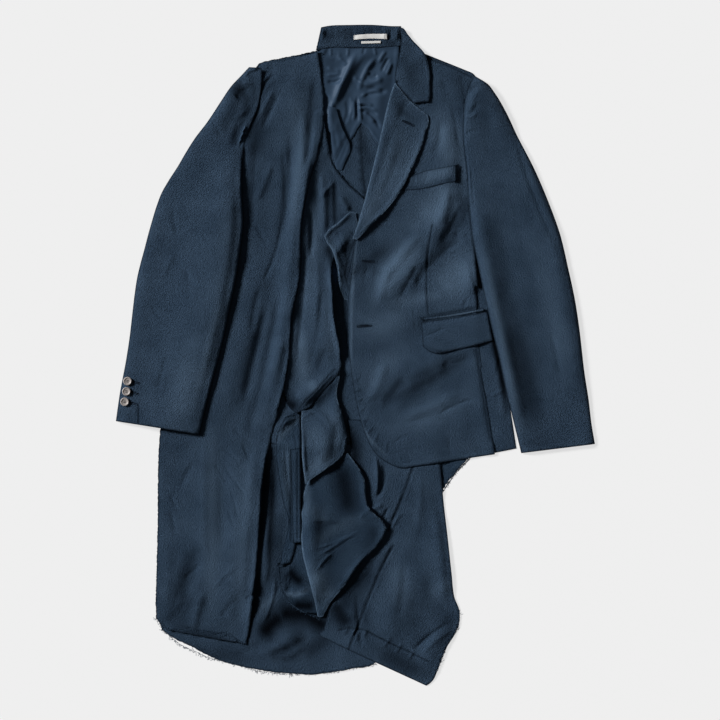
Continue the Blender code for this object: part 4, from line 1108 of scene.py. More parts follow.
def faded_ends(along, share):
    """1 along a path, falling softly to 0 over a share of it at each end."""
    return smooth_step(along / share) * smooth_step((1 - along) / share)


def bell(distance, width):
    """1 at no distance, falling softly to nearly 0 at twice the width."""
    return np.exp(-(distance / width) ** 2)


def path_field(window, points, reach):
    """Cells within reach of a path, with their distance from it and share along it."""
    points = np.array(points, dtype=float)
    low = points.min(axis=0) - reach
    high = points.max(axis=0) + reach
    columns = np.nonzero((window.x >= low[0]) & (window.x <= high[0]))[0]
    rows = np.nonzero((window.y >= low[1]) & (window.y <= high[1]))[0]
    if not len(columns) or not len(rows):
        return None
    part = (slice(rows[0], rows[-1] + 1), slice(columns[0], columns[-1] + 1))
    x = window.x[part[1]][None, :]
    y = window.y[part[0]][:, None]
    spans = np.linalg.norm(np.diff(points, axis=0), axis=1)
    marks = np.concatenate(([0.0], np.cumsum(spans)))
    distance = np.full((len(window.y[part[0]]), len(window.x[part[1]])), 1e9)
    along = np.zeros_like(distance)
    for index, span in enumerate(spans):
        step = (points[index + 1] - points[index]) / span
        over = x - points[index][0]
        up = y - points[index][1]
        share = np.clip(over * step[0] + up * step[1], 0.0, span)
        gap = np.hypot(over - share * step[0], up - share * step[1])
        closer = gap < distance
        distance = np.where(closer, gap, distance)
        along = np.where(closer, (marks[index] + share) / marks[-1], along)
    return part, distance, along


def bent_path(row, pieces=14):
    """Points of the curve of one crease, which passes through its middle."""
    start = np.array(row[1:3], dtype=float)
    middle = np.array(row[3:5], dtype=float)
    finish = np.array(row[5:7], dtype=float)
    bend = 2 * middle - 0.5 * (start + finish)
    t = np.linspace(0.0, 1.0, pieces + 1)[:, None]
    return (1 - t) ** 2 * start + 2 * t * (1 - t) * bend + t ** 2 * finish


def add_crease(window, field, row):
    """A soft ridge or trough along a curve, thinner and shallower towards both ends."""
    half_width, height = row[7:9]
    found = path_field(window, bent_path(row), CREASE_REACH * half_width)
    if found is None:
        return
    part, distance, along = found
    fade = faded_ends(along, CREASE_FADE)
    width = half_width * (0.7 + 0.3 * fade)
    field[part] += height * fade * bell(distance, width)


def add_seam(window, field, row):
    """The narrow trough of a line of sewing, with the cloth drawn up a little on both sides."""
    _, half_width, depth, points = row
    part, distance, along = path_field(window, points, 5 * half_width)
    fade = faded_ends(along, SEAM_FADE)
    trough = depth * bell(distance, half_width)
    lip = bell(distance - SEAM_LIP * half_width, SEAM_LIP_WIDTH * half_width)
    field[part] += fade * (trough - SEAM_LIP_HEIGHT * depth * lip)


def cloth_waves(window, dice, grain):
    """Small uneven waves of cloth that has been worn and laid down, longer along the grain."""
    waves = np.zeros(window.shape)
    long_ways = abs(math.cos(math.radians(grain))) > 0.6
    for size, stretch, height in CLOTH_WAVES:
        noise = dice.standard_normal(window.shape)
        if long_ways:
            noise = blur(noise, size, size * stretch)
        else:
            noise = blur(noise, size * stretch, size)
        waves += height * noise / max(noise.std(), 1e-9)
    return waves


def edge_form(distance, along, kind, dice):
    """Height that the finish of an edge adds: a rolled rim, its turning and the pull of its sewing."""
    phase = dice.uniform(0, 6.28)
    if kind == "raw":
        curl = 0.5 * bell(distance, 2.5) * np.sin(along / 9.0 + phase)
        return curl - 0.3 * bell(distance, 1.2)
    form = -ROLL_DEPTH * np.clip(1 - distance / ROLL_REACH, 0.0, 1.0) ** 2
    for _, middle, half_width, height in EDGE_BANDS:
        form = form + height * bell(distance - middle, half_width)
    drift = np.sin(along / 31.0 + phase) + np.sin(along / 17.0 + 2 * phase)
    pull = PUCKER_HEIGHT * np.sin(along / 2.6 + 1.6 * drift) * bell(distance - 2.5, 3.0)
    pull = pull * (0.55 + 0.45 * np.sin(along / 43.0 + 3 * phase))
    return form + pull


def outline_part(outline, start, finish):
    """The shorter part of a closed outline between the points nearest to two places."""
    count = len(outline)
    first = int(np.linalg.norm(outline - start, axis=1).argmin())
    last = int(np.linalg.norm(outline - finish, axis=1).argmin())
    onward = (last - first) % count
    if onward <= count - onward:
        chosen = (first + np.arange(0, onward + 1, 3)) % count
    else:
        chosen = (first - np.arange(0, count - onward + 1, 3)) % count
    return outline[chosen]


def edge_rises(window, node_name, outline):
    """Height that standing edges add, and the share of each cell that belongs to a rolled edge."""
    lift = np.zeros(window.shape)
    rolled = np.zeros(window.shape)
    for name, _, x0, y0, x1, y1, half_width, height, radius in EDGE_RISES:
        if name != node_name:
            continue
        points = outline_part(outline, np.array((x0, y0)), np.array((x1, y1)))
        part, distance, along = path_field(window, points, 3 * half_width)
        fade = faded_ends(along, RISE_FADE)
        lift[part] += height * fade * bell(distance, half_width)
        inward = np.clip(1 - distance / radius, 0.0, 1.0)
        lift[part] -= radius * fade * (1 - np.sqrt(1 - 0.96 * inward ** 2))
        rolled[part] = np.maximum(rolled[part], fade * (distance < 3 * radius))
    return lift, rolled


def run_under(node_name, outline):
    """Moves the edge points that swell out softly or run on under the next piece."""
    outline = outline.copy()
    for name, x, y, radius, move in EDGE_SWELLS:
        if name == node_name:
            share = np.exp(-((outline - (x, y)) ** 2).sum(axis=1) / radius ** 2)
            outline[:, 0] += share * move
    for name, left, low, right, high, move_x, move_y in UNDERLAPS:
        if name != node_name:
            continue
        chosen = (outline[:, 0] >= left) & (outline[:, 0] <= right)
        chosen &= (outline[:, 1] >= low) & (outline[:, 1] <= high)
        outline[chosen] += (move_x, move_y)
    return outline


def sewn_share(window, node_name):
    """One at the sides that are sewn down, fading to nothing a few millimetres inside."""
    share = np.zeros(window.shape)
    for _, reach, points in SEWN_SIDES.get(node_name, ()):
        part, distance, along = path_field(window, points, reach + 7.0)
        ends = faded_ends(along, SEWN_FADE)
        share[part] = np.maximum(share[part], ends * (1 - smooth_step((distance - 1.5) / reach)))
    return share


def frayed(outline, dice):
    """A raw edge: threads have come out of it unevenly, so that the cut wavers."""
    centre = np.roll(outline, -1, axis=0) - np.roll(outline, 1, axis=0)
    lengths = np.maximum(np.linalg.norm(centre, axis=1), 1e-6)
    outward = np.stack((centre[:, 1], -centre[:, 0]), axis=1) / lengths[:, None]
    jag = dice.uniform(*RAW_EDGE_JAG, len(outline))
    return outline + outward * jag[:, None]


def hexagon_points(window, allowed, pitch, dice):
    """Points of an even triangular pattern over the cells that are allowed."""
    rows = np.arange(window.y[0], window.y[-1], pitch * math.sqrt(3) / 2)
    columns = np.arange(window.x[0], window.x[-1], pitch)
    x, y = np.meshgrid(columns, rows)
    x = x + (np.arange(len(rows)) % 2)[:, None] * pitch / 2
    points = np.stack((x.ravel(), y.ravel()), axis=1)
    points = points + dice.uniform(-POINT_JITTER, POINT_JITTER, points.shape) * pitch
    return points[window.sample(allowed, points) > 0.999]


def triangulate(outline, inner):
    """Triangles that fill the outline through its points and the inner ones, facing up."""
    count = len(outline)
    points = np.vstack((outline, inner))
    edges = [(index, (index + 1) % count) for index in range(count)]
    found = delaunay_2d_cdt([Vector(p) for p in points], edges, [], 1, 1e-4)
    places = np.array([tuple(v) for v in found[0]])
    triangles = np.array(found[2])
    order = np.full(count, -1)
    for new, olds in enumerate(found[3]):
        for old in olds:
            if old < count:
                order[old] = new
    sides = places[triangles]
    one = sides[:, 1] - sides[:, 0]
    two = sides[:, 2] - sides[:, 0]
    area = one[:, 0] * two[:, 1] - one[:, 1] * two[:, 0]
    triangles = triangles[np.abs(area) > 1e-9]
    area = area[np.abs(area) > 1e-9]
    triangles[area < 0] = triangles[area < 0][:, ::-1]
    return places, triangles, order


def add_item(name, data):
    """An object for a mesh, light or camera, in the scene."""
    item = bpy.data.objects.new(name, data)
    bpy.context.scene.collection.objects.link(item)
    return item


def add_mesh(name, vertices, faces, material):
    """A mesh object from millimetres, with smooth shading and crisp rims."""
    mesh = bpy.data.meshes.new(name)
    mesh.from_pydata((np.asarray(vertices) * MM).tolist(), [], faces)
    mesh.materials.append(material)
    mesh.polygons.foreach_set("use_smooth", [True] * len(mesh.polygons))
    mesh.set_sharp_from_angle(angle=math.radians(SHARP_ANGLE))
    return add_item(name, mesh)


def on_grain(places, degrees):
    """Places across the threads and along them."""
    turn = math.radians(degrees)
    across = places[:, 0] * math.cos(turn) - places[:, 1] * math.sin(turn)
    along = places[:, 0] * math.sin(turn) + places[:, 1] * math.cos(turn)
    return across, along


def store_pair(mesh, name, first, second):
    """Stores two numbers at each point of a mesh, as a vector for the shaders."""
    values = np.stack((first, second, np.zeros(len(first))), axis=1)
    layer = mesh.attributes.new(name, "FLOAT_VECTOR", "POINT")
    layer.data.foreach_set("vector", values.ravel())


def set_grain(item, degrees):
    """Stores each point's place across and along the threads, in millimetres."""
    store_pair(item.data, "grain", *on_grain(mesh_points(item.data), degrees))


def set_painted_light_shade(item, window, distance, node_name):
    """Stores the painted shade and painted light at each point, from the rows, seams and edges."""
    places = mesh_points(item.data)[:, :2]
    painted_edge = bell(distance, PAINTED_EDGE_WIDTH)
    painted_shade = np.zeros(window.shape)
    painted_light = np.zeros(window.shape)
    # Painted light and painted shade from the listed rows.
    for row in PAINTED_LIGHT_ROWS.get(node_name, ()):
        half_width, amount = row[7:9]
        part, away, along = path_field(window, bent_path(row), TONE_REACH * half_width)
        fade = faded_ends(along, PAINTED_LIGHT_FADE)
        share = abs(amount) * (0.35 + 0.65 * fade) * bell(away, half_width)
        if amount < 0:
            painted_shade[part] = np.maximum(painted_shade[part], share)
        else:
            painted_light[part] = np.maximum(painted_light[part], share)
    for _, half_width, _, points in SEAMS.get(node_name, ()):
        part, away, _ = path_field(window, points, TONE_REACH * half_width)
        painted_shade[part] = np.maximum(painted_shade[part], SEAM_SHADE * bell(away, half_width))
    # Edges: a painted highlight on the pieces whose edges catch the light, painted shade on all others.
    if node_name in PAINTED_LIT_EDGES:
        painted_light = np.maximum(painted_light, PAINTED_EDGE_AMOUNT * painted_edge)
    else:
        painted_shade = np.maximum(painted_shade, PAINTED_EDGE_AMOUNT * painted_edge)
    store_pair(item.data, "painted_light_shade", window.sample(painted_shade, places), window.sample(painted_light, places))


def cut_size(outline, degrees):
    """Width across the grain, length along it and area of a panel, in metres and square metres."""
    across, along = on_grain(outline, degrees)
    after = np.roll(outline, -1, axis=0)
    area = abs((outline[:, 0] * after[:, 1] - outline[:, 1] * after[:, 0]).sum()) / 2
    width = max(np.ptp(across) * MM, LEAST_FLAT_SIDE)
    length = max(np.ptp(along) * MM, LEAST_FLAT_SIDE)
    return width, length, area * MM * MM


def shell(name, outline, window, top, rim_floor, wall, pitch, distance, material, dice):
    """Closed thin wall of cloth: a fine upper side, a rim and a plainer underside."""
    spare = (distance > EDGE_MARGIN * pitch).astype(float)
    points, triangles, order = triangulate(outline, hexagon_points(window, spare, pitch, dice))
    upper = np.column_stack((points, window.sample(top, points)))
    wide = (distance > min(EDGE_MARGIN * UNDERSIDE_PITCH, 0.9 * EDGE_BAND)).astype(float)
    under_points, under_triangles, under_order = triangulate(
        outline, hexagon_points(window, wide, max(UNDERSIDE_PITCH, pitch), dice))
    hollow = spread(top, 4, highest=False)
    under_height = window.sample(hollow, under_points) - wall
    rim_height = window.sample(rim_floor, outline)
    under_height[under_order] = rim_height
    lower = np.column_stack((under_points, np.maximum(under_height, LOWEST_UNDERSIDE)))
    upper[:, 2] = np.maximum(upper[:, 2], LOWEST_UNDERSIDE + wall)
    count = len(upper)
    faces = triangles.tolist()
    faces += (under_triangles[:, ::-1] + count).tolist()
    lap = len(outline)
    after = (np.arange(lap) + 1) % lap
    rim = np.stack((order, under_order + count, under_order[after] + count, order[after]), axis=1)
    turning = outline[:, 0] * outline[after][:, 1] - outline[:, 1] * outline[after][:, 0]
    if turning.sum() < 0:
        rim = rim[:, ::-1]
    faces += rim.tolist()
    return add_mesh(name, np.vstack((upper, lower)), faces, material)


def solid_form(window, corners, triangles, distance):
    """Upper side of a solid on the grid, smoothed more inside than at its edge."""
    rough, found = raster(window, corners, triangles)
    near, _ = softened(rough, found, EDGE_SMOOTHING)
    far, weight = softened(rough, found, INNER_SMOOTHING)
    inner = smooth_step((distance - 2.0) / 10.0) * (weight > 0.02)
    return near * (1 - inner) + far * inner


def cloth_detail(window, row, distance, along, dice):
    """Heights that the waves, creases, seams and edge finish of a piece add to its form."""
    detail = cloth_waves(window, dice, row[4]) * smooth_step(distance / 10.0)
    for crease in CREASES.get(row[0], ()):
        add_crease(window, detail, crease)
    for seam in SEAMS.get(row[0], ()):
        add_seam(window, detail, seam)
    return detail + edge_form(distance, along, row[5], dice)


def settled(top, mask, beneath, sewn, wall):
    """The upper side drawn down where it is sewn on, and raised clear of the pile beneath."""
    clear = (wall + SHELL_CLEARANCE) * (1 - sewn) + SEWN_CLEARANCE * sewn
    smooth_floor = blur(spread(beneath, 5), 4.0) + clear
    drawn = top * (1 - sewn) + np.minimum(top, smooth_floor) * sewn
    top = np.where((sewn > 0) & (beneath > 0), drawn, top)
    needed = np.where(beneath > 0, beneath + clear, wall + FLOOR_CLEARANCE)
    needed = np.where(sewn > 0.5, needed, spread(needed, 1))
    lacking = np.clip(needed - top, 0.0, None) * mask
    lifted = top + blur(spread(lacking, 2), 1.6)
    return np.maximum(lifted, np.where(mask, needed, 0.0))


def cloth_panel(frame, pile, row, materials):
    """One cloth piece on its CAD node's form, above all that lies under it."""
    node_name, finish, pitch, wall, grain, edge = row[:6]
    dice = np.random.default_rng(sum(map(ord, node_name)))
    corners, triangles, loop = solid_top(frame["nodes"][node_name])
    outline = run_under(node_name, fine_outline(loop, min(pitch, OUTLINE_SPACING)))
    if edge == "raw":
        outline = frayed(outline, dice)
    window = Window(outline)
    mask = fill_mask(window, outline)
    distance, along = edge_distance(window, mask, outline)
    form = solid_form(window, corners, triangles, distance)
    detail = cloth_detail(window, row, distance, along, dice)
    small = min(1.0, np.sqrt(mask.sum()) / FULL_DETAIL_SIZE)
    lift, rolled = edge_rises(window, node_name, outline)
    beneath = pile[window.rows, window.columns]
    sewn = sewn_share(window, node_name)
    top = settled(form + detail * small + lift, mask, beneath, sewn, wall)
    rolled_rim = np.minimum(top - wall, np.maximum(beneath, 0.0) + ROLLED_RIM_GAP)
    rim_floor = np.where(rolled > 0.5, rolled_rim, top - wall)
    item = shell(
        f"cloth_{node_name}", outline, window, top, rim_floor, wall, pitch, distance,
        materials[finish], dice)
    set_grain(item, grain)
    set_painted_light_shade(item, window, distance, node_name)
    pile[window.rows, window.columns] = np.where(mask, np.maximum(beneath, top), beneath)
    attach(item, "root")
    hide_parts(node_name)
    return item, cut_size(outline, grain)


def tube_faces(rings, sides):
    """Faces round a row of rings, and one face over each end."""
    faces = []
    for ring in range(rings - 1):
        for side in range(sides):
            after = (side + 1) % sides
            low = ring * sides
            faces.append((low + side, low + after, low + sides + after, low + sides + side))
    last = (rings - 1) * sides
    faces.append(tuple(range(sides))[::-1])
    faces.append(tuple(last + side for side in range(sides)))
    return faces


def thread_tube(points, radius, sides=4):
    """Rings and faces of a thin round thread along its points, closed at both ends."""
    points = np.asarray(points)
    steps = np.gradient(points, axis=0)
    steps = steps / np.maximum(np.linalg.norm(steps, axis=1), 1e-9)[:, None]
    sideways = np.cross(steps, (0.0, 0.0, 1.0))
    sideways = sideways / np.maximum(np.linalg.norm(sideways, axis=1), 1e-9)[:, None]
    upwards = np.cross(sideways, steps)
    vertices = []
    for place, over, up in zip(points, sideways, upwards):
        for side in range(sides):
            turn = 2 * math.pi * side / sides
            vertices.append(place + radius * (math.cos(turn) * over + math.sin(turn) * up))
    return vertices, tube_faces(len(points), sides)


def joined(parts):
    """One list of vertices and faces from several."""
    vertices = []
    faces = []
    for part_vertices, part_faces in parts:
        start = len(vertices)
        vertices.extend(part_vertices)
        faces.extend(tuple(start + index for index in face) for face in part_faces)
    return vertices, faces


def height_at(field, place):
    """Height of the finished pile at a point."""
    column = (place[0] - GRID_LOW[0]) / CELL
    row = (place[1] - GRID_LOW[1]) / CELL
    return float(field[int(round(row)), int(round(column))])


def even_points(points, spacing):
    """Points and directions along a path at an even spacing."""
    points = np.array(points, dtype=float)
    spans = np.linalg.norm(np.diff(points, axis=0), axis=1)
    marks = np.concatenate(([0.0], np.cumsum(spans)))
    count = max(2, int(marks[-1] / spacing) + 1)
    wanted = np.linspace(0.0, marks[-1], count)
    places = np.stack([np.interp(wanted, marks, points[:, axis]) for axis in (0, 1)], axis=1)
    steps = np.gradient(places, axis=0)
    return places, steps / np.linalg.norm(steps, axis=1)[:, None]


def frayed_threads(row, pile, material):
    """Loose threads that stand out of a raw edge and come down on what lies beside it."""
    _, name, density, longest, points = row
    dice = np.random.default_rng(len(name) * 7919)
    places, steps = even_points(points, 1 / density)
    parts = []
    for place, step in zip(places, steps):
        outward = np.array((-step[1], step[0]))
        lean = dice.normal(0.0, THREAD_LEAN)
        heading = math.atan2(outward[1], outward[0]) + lean
        length = longest * dice.uniform(0.15, 1.0) ** 1.6
        start = place - outward * THREAD_ROOT + step * dice.uniform(-0.5, 0.5)
        level = height_at(pile, place - outward * 2.0) - 0.1
        here = np.array((start[0], start[1]))
        line = [(here[0], here[1], level)]
        curl = dice.normal(0.0, THREAD_CURL)
        for segment in range(THREAD_SEGMENTS):
            stride = (length + THREAD_ROOT) / THREAD_SEGMENTS
            here = here + stride * np.array((math.cos(heading), math.sin(heading)))
            heading += curl
            ground = height_at(pile, here) + THREAD_RADIUS
            share = (segment + 1) / THREAD_SEGMENTS
            line.append((here[0], here[1], max(ground, level * (1 - share) + ground * share)))
        parts.append(thread_tube(line, THREAD_RADIUS))
    return add_mesh(name, *joined(parts), material)


def stitch(start, finish, radius):
    """One short stitch, thick in the middle and pulled into the cloth at its ends."""
    start = np.asarray(start)
    finish = np.asarray(finish)
    vertices = []
    step = (finish - start) / np.linalg.norm(finish - start)
    over = np.cross(step, (0.0, 0.0, 1.0))
    for share, swell, lift in STITCH_SECTION:
        centre = start + (finish - start) * share + np.array((0.0, 0.0, lift * radius * 2))
        for side in range(STITCH_SIDES):
            turn = 2 * math.pi * side / STITCH_SIDES
            offset = math.cos(turn) * over + math.sin(turn) * np.array((0.0, 0.0, 1.0))
            vertices.append(centre + offset * radius * swell)
    return vertices, tube_faces(len(STITCH_SECTION), STITCH_SIDES)


def stitch_line(row, pile, material):
    """A row of stitches in the cloth along a seam."""
    _, name, spacing, points = row
    places, steps = even_points(points, spacing)
    parts = []
    for place, step in zip(places, steps):
        level = height_at(pile, place) + STITCH_LIFT
        half = step * spacing * STITCH_LENGTH_SHARE / 2
        start = (place[0] - half[0], place[1] - half[1], level)
        finish = (place[0] + half[0], place[1] + half[1], level)
        parts.append(stitch(start, finish, STITCH_RADIUS))
    return add_mesh(name, *joined(parts), material)


def level_stitch(pile, spot, start, finish):
    """A stitch from start to finish, at the height of the cloth at a spot."""
    level = height_at(pile, spot) + BUTTONHOLE_LIFT
    return stitch((start[0], start[1], level), (finish[0], finish[1], level), STITCH_RADIUS)


def buttonhole(row, pile, material):
    """A worked buttonhole: close stitches across both lips of the slit and round its ends."""
    _, name, x0, y0, x1, y1 = row
    start = np.array((x0, y0), dtype=float)
    finish = np.array((x1, y1), dtype=float)
    length = np.linalg.norm(finish - start)
    step = (finish - start) / length
    over = np.array((-step[1], step[0]))
    parts = []
    for place in np.arange(0.0, length + 0.01, LIP_SPACING):
        for side in (-1, 1):
            centre = start + step * place + over * side * LIP_OFFSET
            inner = centre - over * side * LIP_HALF
            outer = centre + over * side * LIP_HALF
            parts.append(level_stitch(pile, centre, inner, outer))
    for end, sign in ((start, -1), (finish, 1)):
        for turn in END_TURNS:
            heading = step * sign * math.cos(turn) + over * math.sin(turn)
            inner = end + heading * END_REACH[0]
            outer = end + heading * END_REACH[1]
            parts.append(level_stitch(pile, end, inner, outer))
    return add_mesh(name, *joined(parts), material)


def turned_disc(centre, radius, section, sides):
    """Vertices and faces of a disc with the given section, closed above and below."""
    vertices = []
    faces = []
    for share, height in section:
        for side in range(sides):
            turn = 2 * math.pi * side / sides
            vertices.append((centre[0] + radius * share * math.cos(turn),
                             centre[1] + radius * share * math.sin(turn), centre[2] + height))
    vertices.append((centre[0], centre[1], centre[2] + section[0][1]))
    vertices.append((centre[0], centre[1], centre[2] + section[-1][1]))
    low_middle = len(vertices) - 2
    high_middle = low_middle + 1
    rings = len(section)
    for side in range(sides):
        after = (side + 1) % sides
        faces.append((low_middle, after, side))
        faces.append(((rings - 1) * sides + side, (rings - 1) * sides + after, high_middle))
        for ring in range(rings - 1):
            low = ring * sides
            high = low + sides
            faces.append((low + side, low + after, high + after, high + side))
    return vertices, faces


def cuff_button(node_name, materials):
    """A button with rolled rim and dished face, painted shade at its four holes, thread over each pair.
    """
    low, high = (np.array(corner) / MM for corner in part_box(node_name))
    centre = ((low[0] + high[0]) / 2, (low[1] + high[1]) / 2, low[2])
    radius = (high[0] - low[0]) / 2
    disc_form = turned_disc(centre, radius, BUTTON_SECTION, BUTTON_SIDES)
    disc = add_mesh(f"fine_{node_name}", *disc_form, materials["button"])
    hole_shades = []
    threads = []
    level = centre[2] + BUTTON_FACE
    # Painted shade: each hole is a thin dark disc lying on the button's face.
    for over, up in ((-1, -1), (-1, 1), (1, -1), (1, 1)):
        spot = (centre[0] + HOLE_OFFSET * over, centre[1] + HOLE_OFFSET * up, level - 0.05)
        hole_shades.append(turned_disc(spot, HOLE_RADIUS, HOLE_SECTION, HOLE_SIDES))
    for up in (-1, 1):
        for shift, thickness in BUTTON_STRANDS:
            place_y = centre[1] + HOLE_OFFSET * up + shift
            start = (centre[0] - STRAND_HALF, place_y, level + STRAND_LIFT)
            finish = (centre[0] + STRAND_HALF, place_y, level + STRAND_LIFT)
            threads.append(stitch(start, finish, thickness))
    hole_shade_item = add_mesh(f"{node_name}_holes", *joined(hole_shades), materials["hole"])
    thread_item = add_mesh(f"{node_name}_thread", *joined(threads), materials["button_thread"])
    for item in (disc, hole_shade_item, thread_item):
        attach(item, "root")
    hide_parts(node_name)


def new_material(name):
    """An empty node material, and its tree."""
    material = bpy.data.materials.new(name)
    material.use_nodes = True
    material.node_tree.nodes.clear()
    return material, material.node_tree


def noise_texture(tree, place, scale, detail, roughness=0.5):
    """Soft noise over a place."""
    return add_node(
        tree, "ShaderNodeTexNoise", (),
        (("Scale", scale), ("Detail", detail), ("Roughness", roughness)), (("Vector", place),))


def colour_mix(tree, share, first, second):
    """The first colour, which may be a socket, turning to the second one by a share."""
    values = [("B", srgb(second))]
    links = [("Factor", share)]
    if isinstance(first, str):
        values.append(("A", srgb(first)))
    else:
        links.append(("A", first))
    return add_node(tree, "ShaderNodeMix", (("data_type", "RGBA"),), values, links).outputs["Result"]


def finish_surface(tree, colour, height, bump_values, surface_values):
    """The surface shader with its colour and bump, as the output of the material."""
    bump = add_node(tree, "ShaderNodeBump", (), bump_values, (("Height", height),))
    shader = add_node(
        tree, "ShaderNodeBsdfPrincipled", (), surface_values,
        (("Base Color", colour), ("Normal", bump.outputs["Normal"])))
    output = add_node(
        tree, "ShaderNodeOutputMaterial", (), (), (("Surface", shader.outputs["BSDF"]),))
    output.is_active_output = True


def add_painted_light_shade(tree, colour):
    """Colour made paler by the painted light and darker by the painted shade stored in the mesh."""
    painted_light_shade = add_node(tree, "ShaderNodeAttribute", (("attribute_name", "painted_light_shade"),))
    parts = add_node(
        tree, "ShaderNodeSeparateXYZ", (), (), (("Vector", painted_light_shade.outputs["Vector"]),))
    with_painted_light = colour_mix(tree, parts.outputs["Y"], colour, NAVY_PAINTED_LIGHT)
    return colour_mix(tree, parts.outputs["X"], with_painted_light, NAVY_PAINTED_SHADE)


def thread_noise(tree, grain, stretch):
    """Noise like threads that run one way in the cloth."""
    along = add_node(tree, "ShaderNodeMapping", (), (("Scale", stretch),), (("Vector", grain),))
    return noise_texture(tree, along.outputs["Vector"], THREADS_PER_MM, 2.0, 0.6).outputs["Fac"]


def suiting_material(name, dark, light, roughness):
    """Worsted suiting: a nearly matt dark navy with uneven threads, soft patches, and painted light and
    shade.
    """
    material, tree = new_material(name)
    place = add_node(tree, "ShaderNodeAttribute", (("attribute_name", "grain"),))
    grain = place.outputs["Vector"]
    warp = thread_noise(tree, grain, (1.0, THREAD_STRETCH, 1.0))
    weft = thread_noise(tree, grain, (THREAD_STRETCH, 1.0, 1.0))
    threads = add_node(
        tree, "ShaderNodeMath", (("operation", "ADD"),), (), ((0, warp), (1, weft))).outputs["Value"]
    patches = noise_texture(tree, grain, PATCHES_PER_MM, 3.0, 0.55)
    blend = add_node(
        tree, "ShaderNodeMath", (("operation", "MULTIPLY_ADD"),), ((1, THREAD_WEIGHT),),
        ((0, threads), (2, patches.outputs["Fac"])))
    shade = add_node(
        tree, "ShaderNodeMapRange", (),
        (("From Min", TONE_RANGE[0]), ("From Max", TONE_RANGE[1])),
        (("Value", blend.outputs["Value"]),))
    colour = colour_mix(tree, shade.outputs["Result"], dark, light)
    finish_surface(
        tree, add_painted_light_shade(tree, colour), threads, (("Strength", 1.0), ("Distance", THREAD_BUMP)),
        (("Roughness", roughness), ("Specular IOR Level", SUITING_SPECULAR),
         ("Specular Tint", srgb(SKY_GLOSS)), ("Sheen Weight", SUITING_SHEEN),
         ("Sheen Roughness", 0.4), ("Sheen Tint", srgb(SKY_SHEEN))))
    return material


def plain_cloth(name, dark, light, spacing, roughness, sheen):
    """Viscose, tape or thread: two close tones and small threads at the spacing, in millimetres."""
    material, tree = new_material(name)
    grain = add_node(tree, "ShaderNodeAttribute", (("attribute_name", "grain"),))
    threads = noise_texture(tree, grain.outputs["Vector"], 1 / spacing, 3.0, 0.6).outputs["Fac"]
    finish_surface(
        tree, colour_mix(tree, threads, dark, light), threads,
        (("Strength", 0.25), ("Distance", 0.0004)),
        (("Roughness", roughness), ("Specular IOR Level", 0.2),
         ("Specular Tint", srgb(SKY_GLOSS)), ("Sheen Weight", sheen)))
    return material


def hard_material(name, code, speck, roughness, spacing):
    """Moulded plastic or waxed thread: one colour with fine specks and a slightly uneven surface."""
    material, tree = new_material(name)
    place = add_node(tree, "ShaderNodeTexCoord")
    specks = noise_texture(tree, place.outputs["Object"], 1 / (spacing * MM), 2.0).outputs["Fac"]
    finish_surface(
        tree, colour_mix(tree, specks, code, speck), specks,
        (("Strength", 0.15), ("Distance", 0.0002)), (("Roughness", roughness),))
    return material


def studio_floor():
    """Pale floor that glows a little, so that it stays even and nearly white."""
    mesh = bpy.data.meshes.new("studio_floor")
    corners = [(x * FLOOR_HALF, y * FLOOR_HALF, 0) for x, y in ((-1, -1), (1, -1), (1, 1), (-1, 1))]
    mesh.from_pydata(corners, [], [(0, 1, 2, 3)])
    floor = add_item("studio_floor", mesh)
    material = bpy.data.materials.new("pale_floor")
    material.use_nodes = True
    shader = material.node_tree.nodes["Principled BSDF"]
    shader.inputs["Base Color"].default_value = srgb(FLOOR_GREY)
    shader.inputs["Roughness"].default_value = 0.9
    shader.inputs["Emission Color"].default_value = srgb(FLOOR_GLOW_COLOUR)
    shader.inputs["Emission Strength"].default_value = FLOOR_GLOW
    mesh.materials.append(material)


def studio_light():
    """One broad soft light from the upper left, and a little light from all round."""
    world = bpy.data.worlds.new("studio_air")
    world.use_nodes = True
    background = world.node_tree.nodes["Background"]
    background.inputs["Color"].default_value = (1, 1, 1, 1)
    background.inputs["Strength"].default_value = AIR_STRENGTH
    bpy.context.scene.world = world
    key = bpy.data.lights.new("window_light", "SUN")
    key.angle = math.radians(LIGHT_SOFTNESS)
    key.energy = LIGHT_STRENGTH
    item = add_item("window_light", key)
    item.rotation_euler = (-Vector(LIGHT_FROM)).to_track_quat("-Z", "Y").to_euler()


def studio_camera():
    """The camera straight above the jacket, with the photograph's frame."""
    lens = bpy.data.cameras.new("camera")
    lens.sensor_width = SENSOR_WIDTH
    lens.lens = SENSOR_WIDTH * CAMERA_HEIGHT / (FRAME_WIDTH * MM)
    lens.clip_end = CAMERA_REACH
    camera = add_item("camera", lens)
    camera.location = (FRAME_CENTRE[0] * MM, FRAME_CENTRE[1] * MM, CAMERA_HEIGHT)
    bpy.context.scene.camera = camera
    bpy.context.scene.view_settings.view_transform = "Standard"


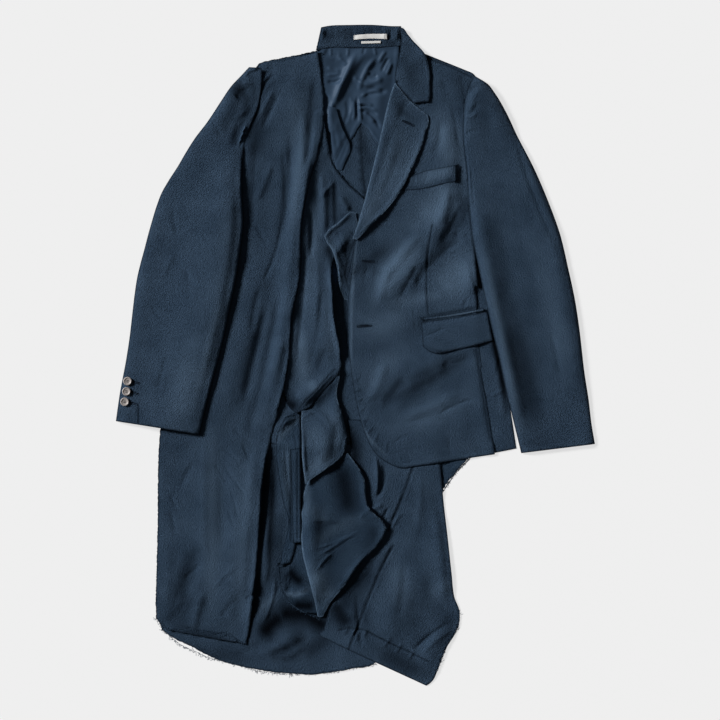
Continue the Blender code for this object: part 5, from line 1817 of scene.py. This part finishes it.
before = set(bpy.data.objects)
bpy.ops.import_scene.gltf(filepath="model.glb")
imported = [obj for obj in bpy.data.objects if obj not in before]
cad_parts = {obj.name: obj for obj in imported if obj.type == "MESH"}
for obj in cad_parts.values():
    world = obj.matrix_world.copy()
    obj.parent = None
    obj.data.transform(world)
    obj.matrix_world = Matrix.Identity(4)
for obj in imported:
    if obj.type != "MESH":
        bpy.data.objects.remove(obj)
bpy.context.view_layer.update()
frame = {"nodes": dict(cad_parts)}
materials = {
    # The main cloth: nearly matt navy, a faint sheen, a fine uneven grain, and painted light and shade.
    "suiting": suiting_material("navy_worsted_suiting", NAVY_SUITING, NAVY_SUITING_LIGHT, 0.58),
    # Its wrong side: flatter and a little darker, with the same painted light and shade.
    "suiting_back": suiting_material("navy_suiting_wrong_side", NAVY_REVERSE, NAVY_REVERSE_LIGHT, 0.75),
    # Smooth lining: soft glints on its folds.
    "lining": plain_cloth("navy_viscose_lining", NAVY_LINING, NAVY_LINING_LIGHT, 1.6, 0.5, 0.05),
    # Blank labels: the only bright spots.
    "label": plain_cloth("white_woven_tape", WHITE_TAPE, WHITE_TAPE_LIGHT, 1.2, 0.7, 0.1),
    # Pale grey buttons with a soft shine, the painted shade of their holes, and their thread.
    "button": hard_material("grey_polyester_button", GREY_BUTTON, GREY_BUTTON_LIGHT, 0.4, 3.0),
    "hole": hard_material("button_hole_shade", BUTTON_HOLE_SHADE, BUTTON_HOLE_SHADE_PALE, 0.8, 1.0),
    "button_thread": hard_material("navy_button_thread", BUTTON_THREAD, BUTTON_THREAD_LIGHT, 0.7, 0.8),
    # Stitches: darker than the cloth, so that the sewing shows as a fine line.
    "thread": plain_cloth("navy_spun_thread", NAVY_THREAD, NAVY_THREAD_LIGHT, 1.0, 0.8, 0.0),
}
pile = np.zeros((GRID_ROWS, GRID_COLUMNS))
panels = {}
for panel in PANELS:
    panels[panel[0]] = (*cloth_panel(frame, pile, panel, materials), panel)
trims = {name: [] for name in panels}
for run in FRAYED_RUNS:
    trims[run[0]].append(frayed_threads(run, pile, materials["suiting"]))
for line in STITCH_LINES:
    trims[line[0]].append(stitch_line(line, pile, materials["thread"]))
for hole in BUTTONHOLES:
    trims[hole[0]].append(buttonhole(hole, pile, materials["thread"]))
for name, (cloth, (width, length, area), panel) in panels.items():
    for trim in trims[name]:
        set_grain(trim, panel[4])
        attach(trim, "root")
for number in (1, 2, 3):
    cuff_button(f"cuff_button_{number}", materials)
studio_floor()
studio_light()
studio_camera()
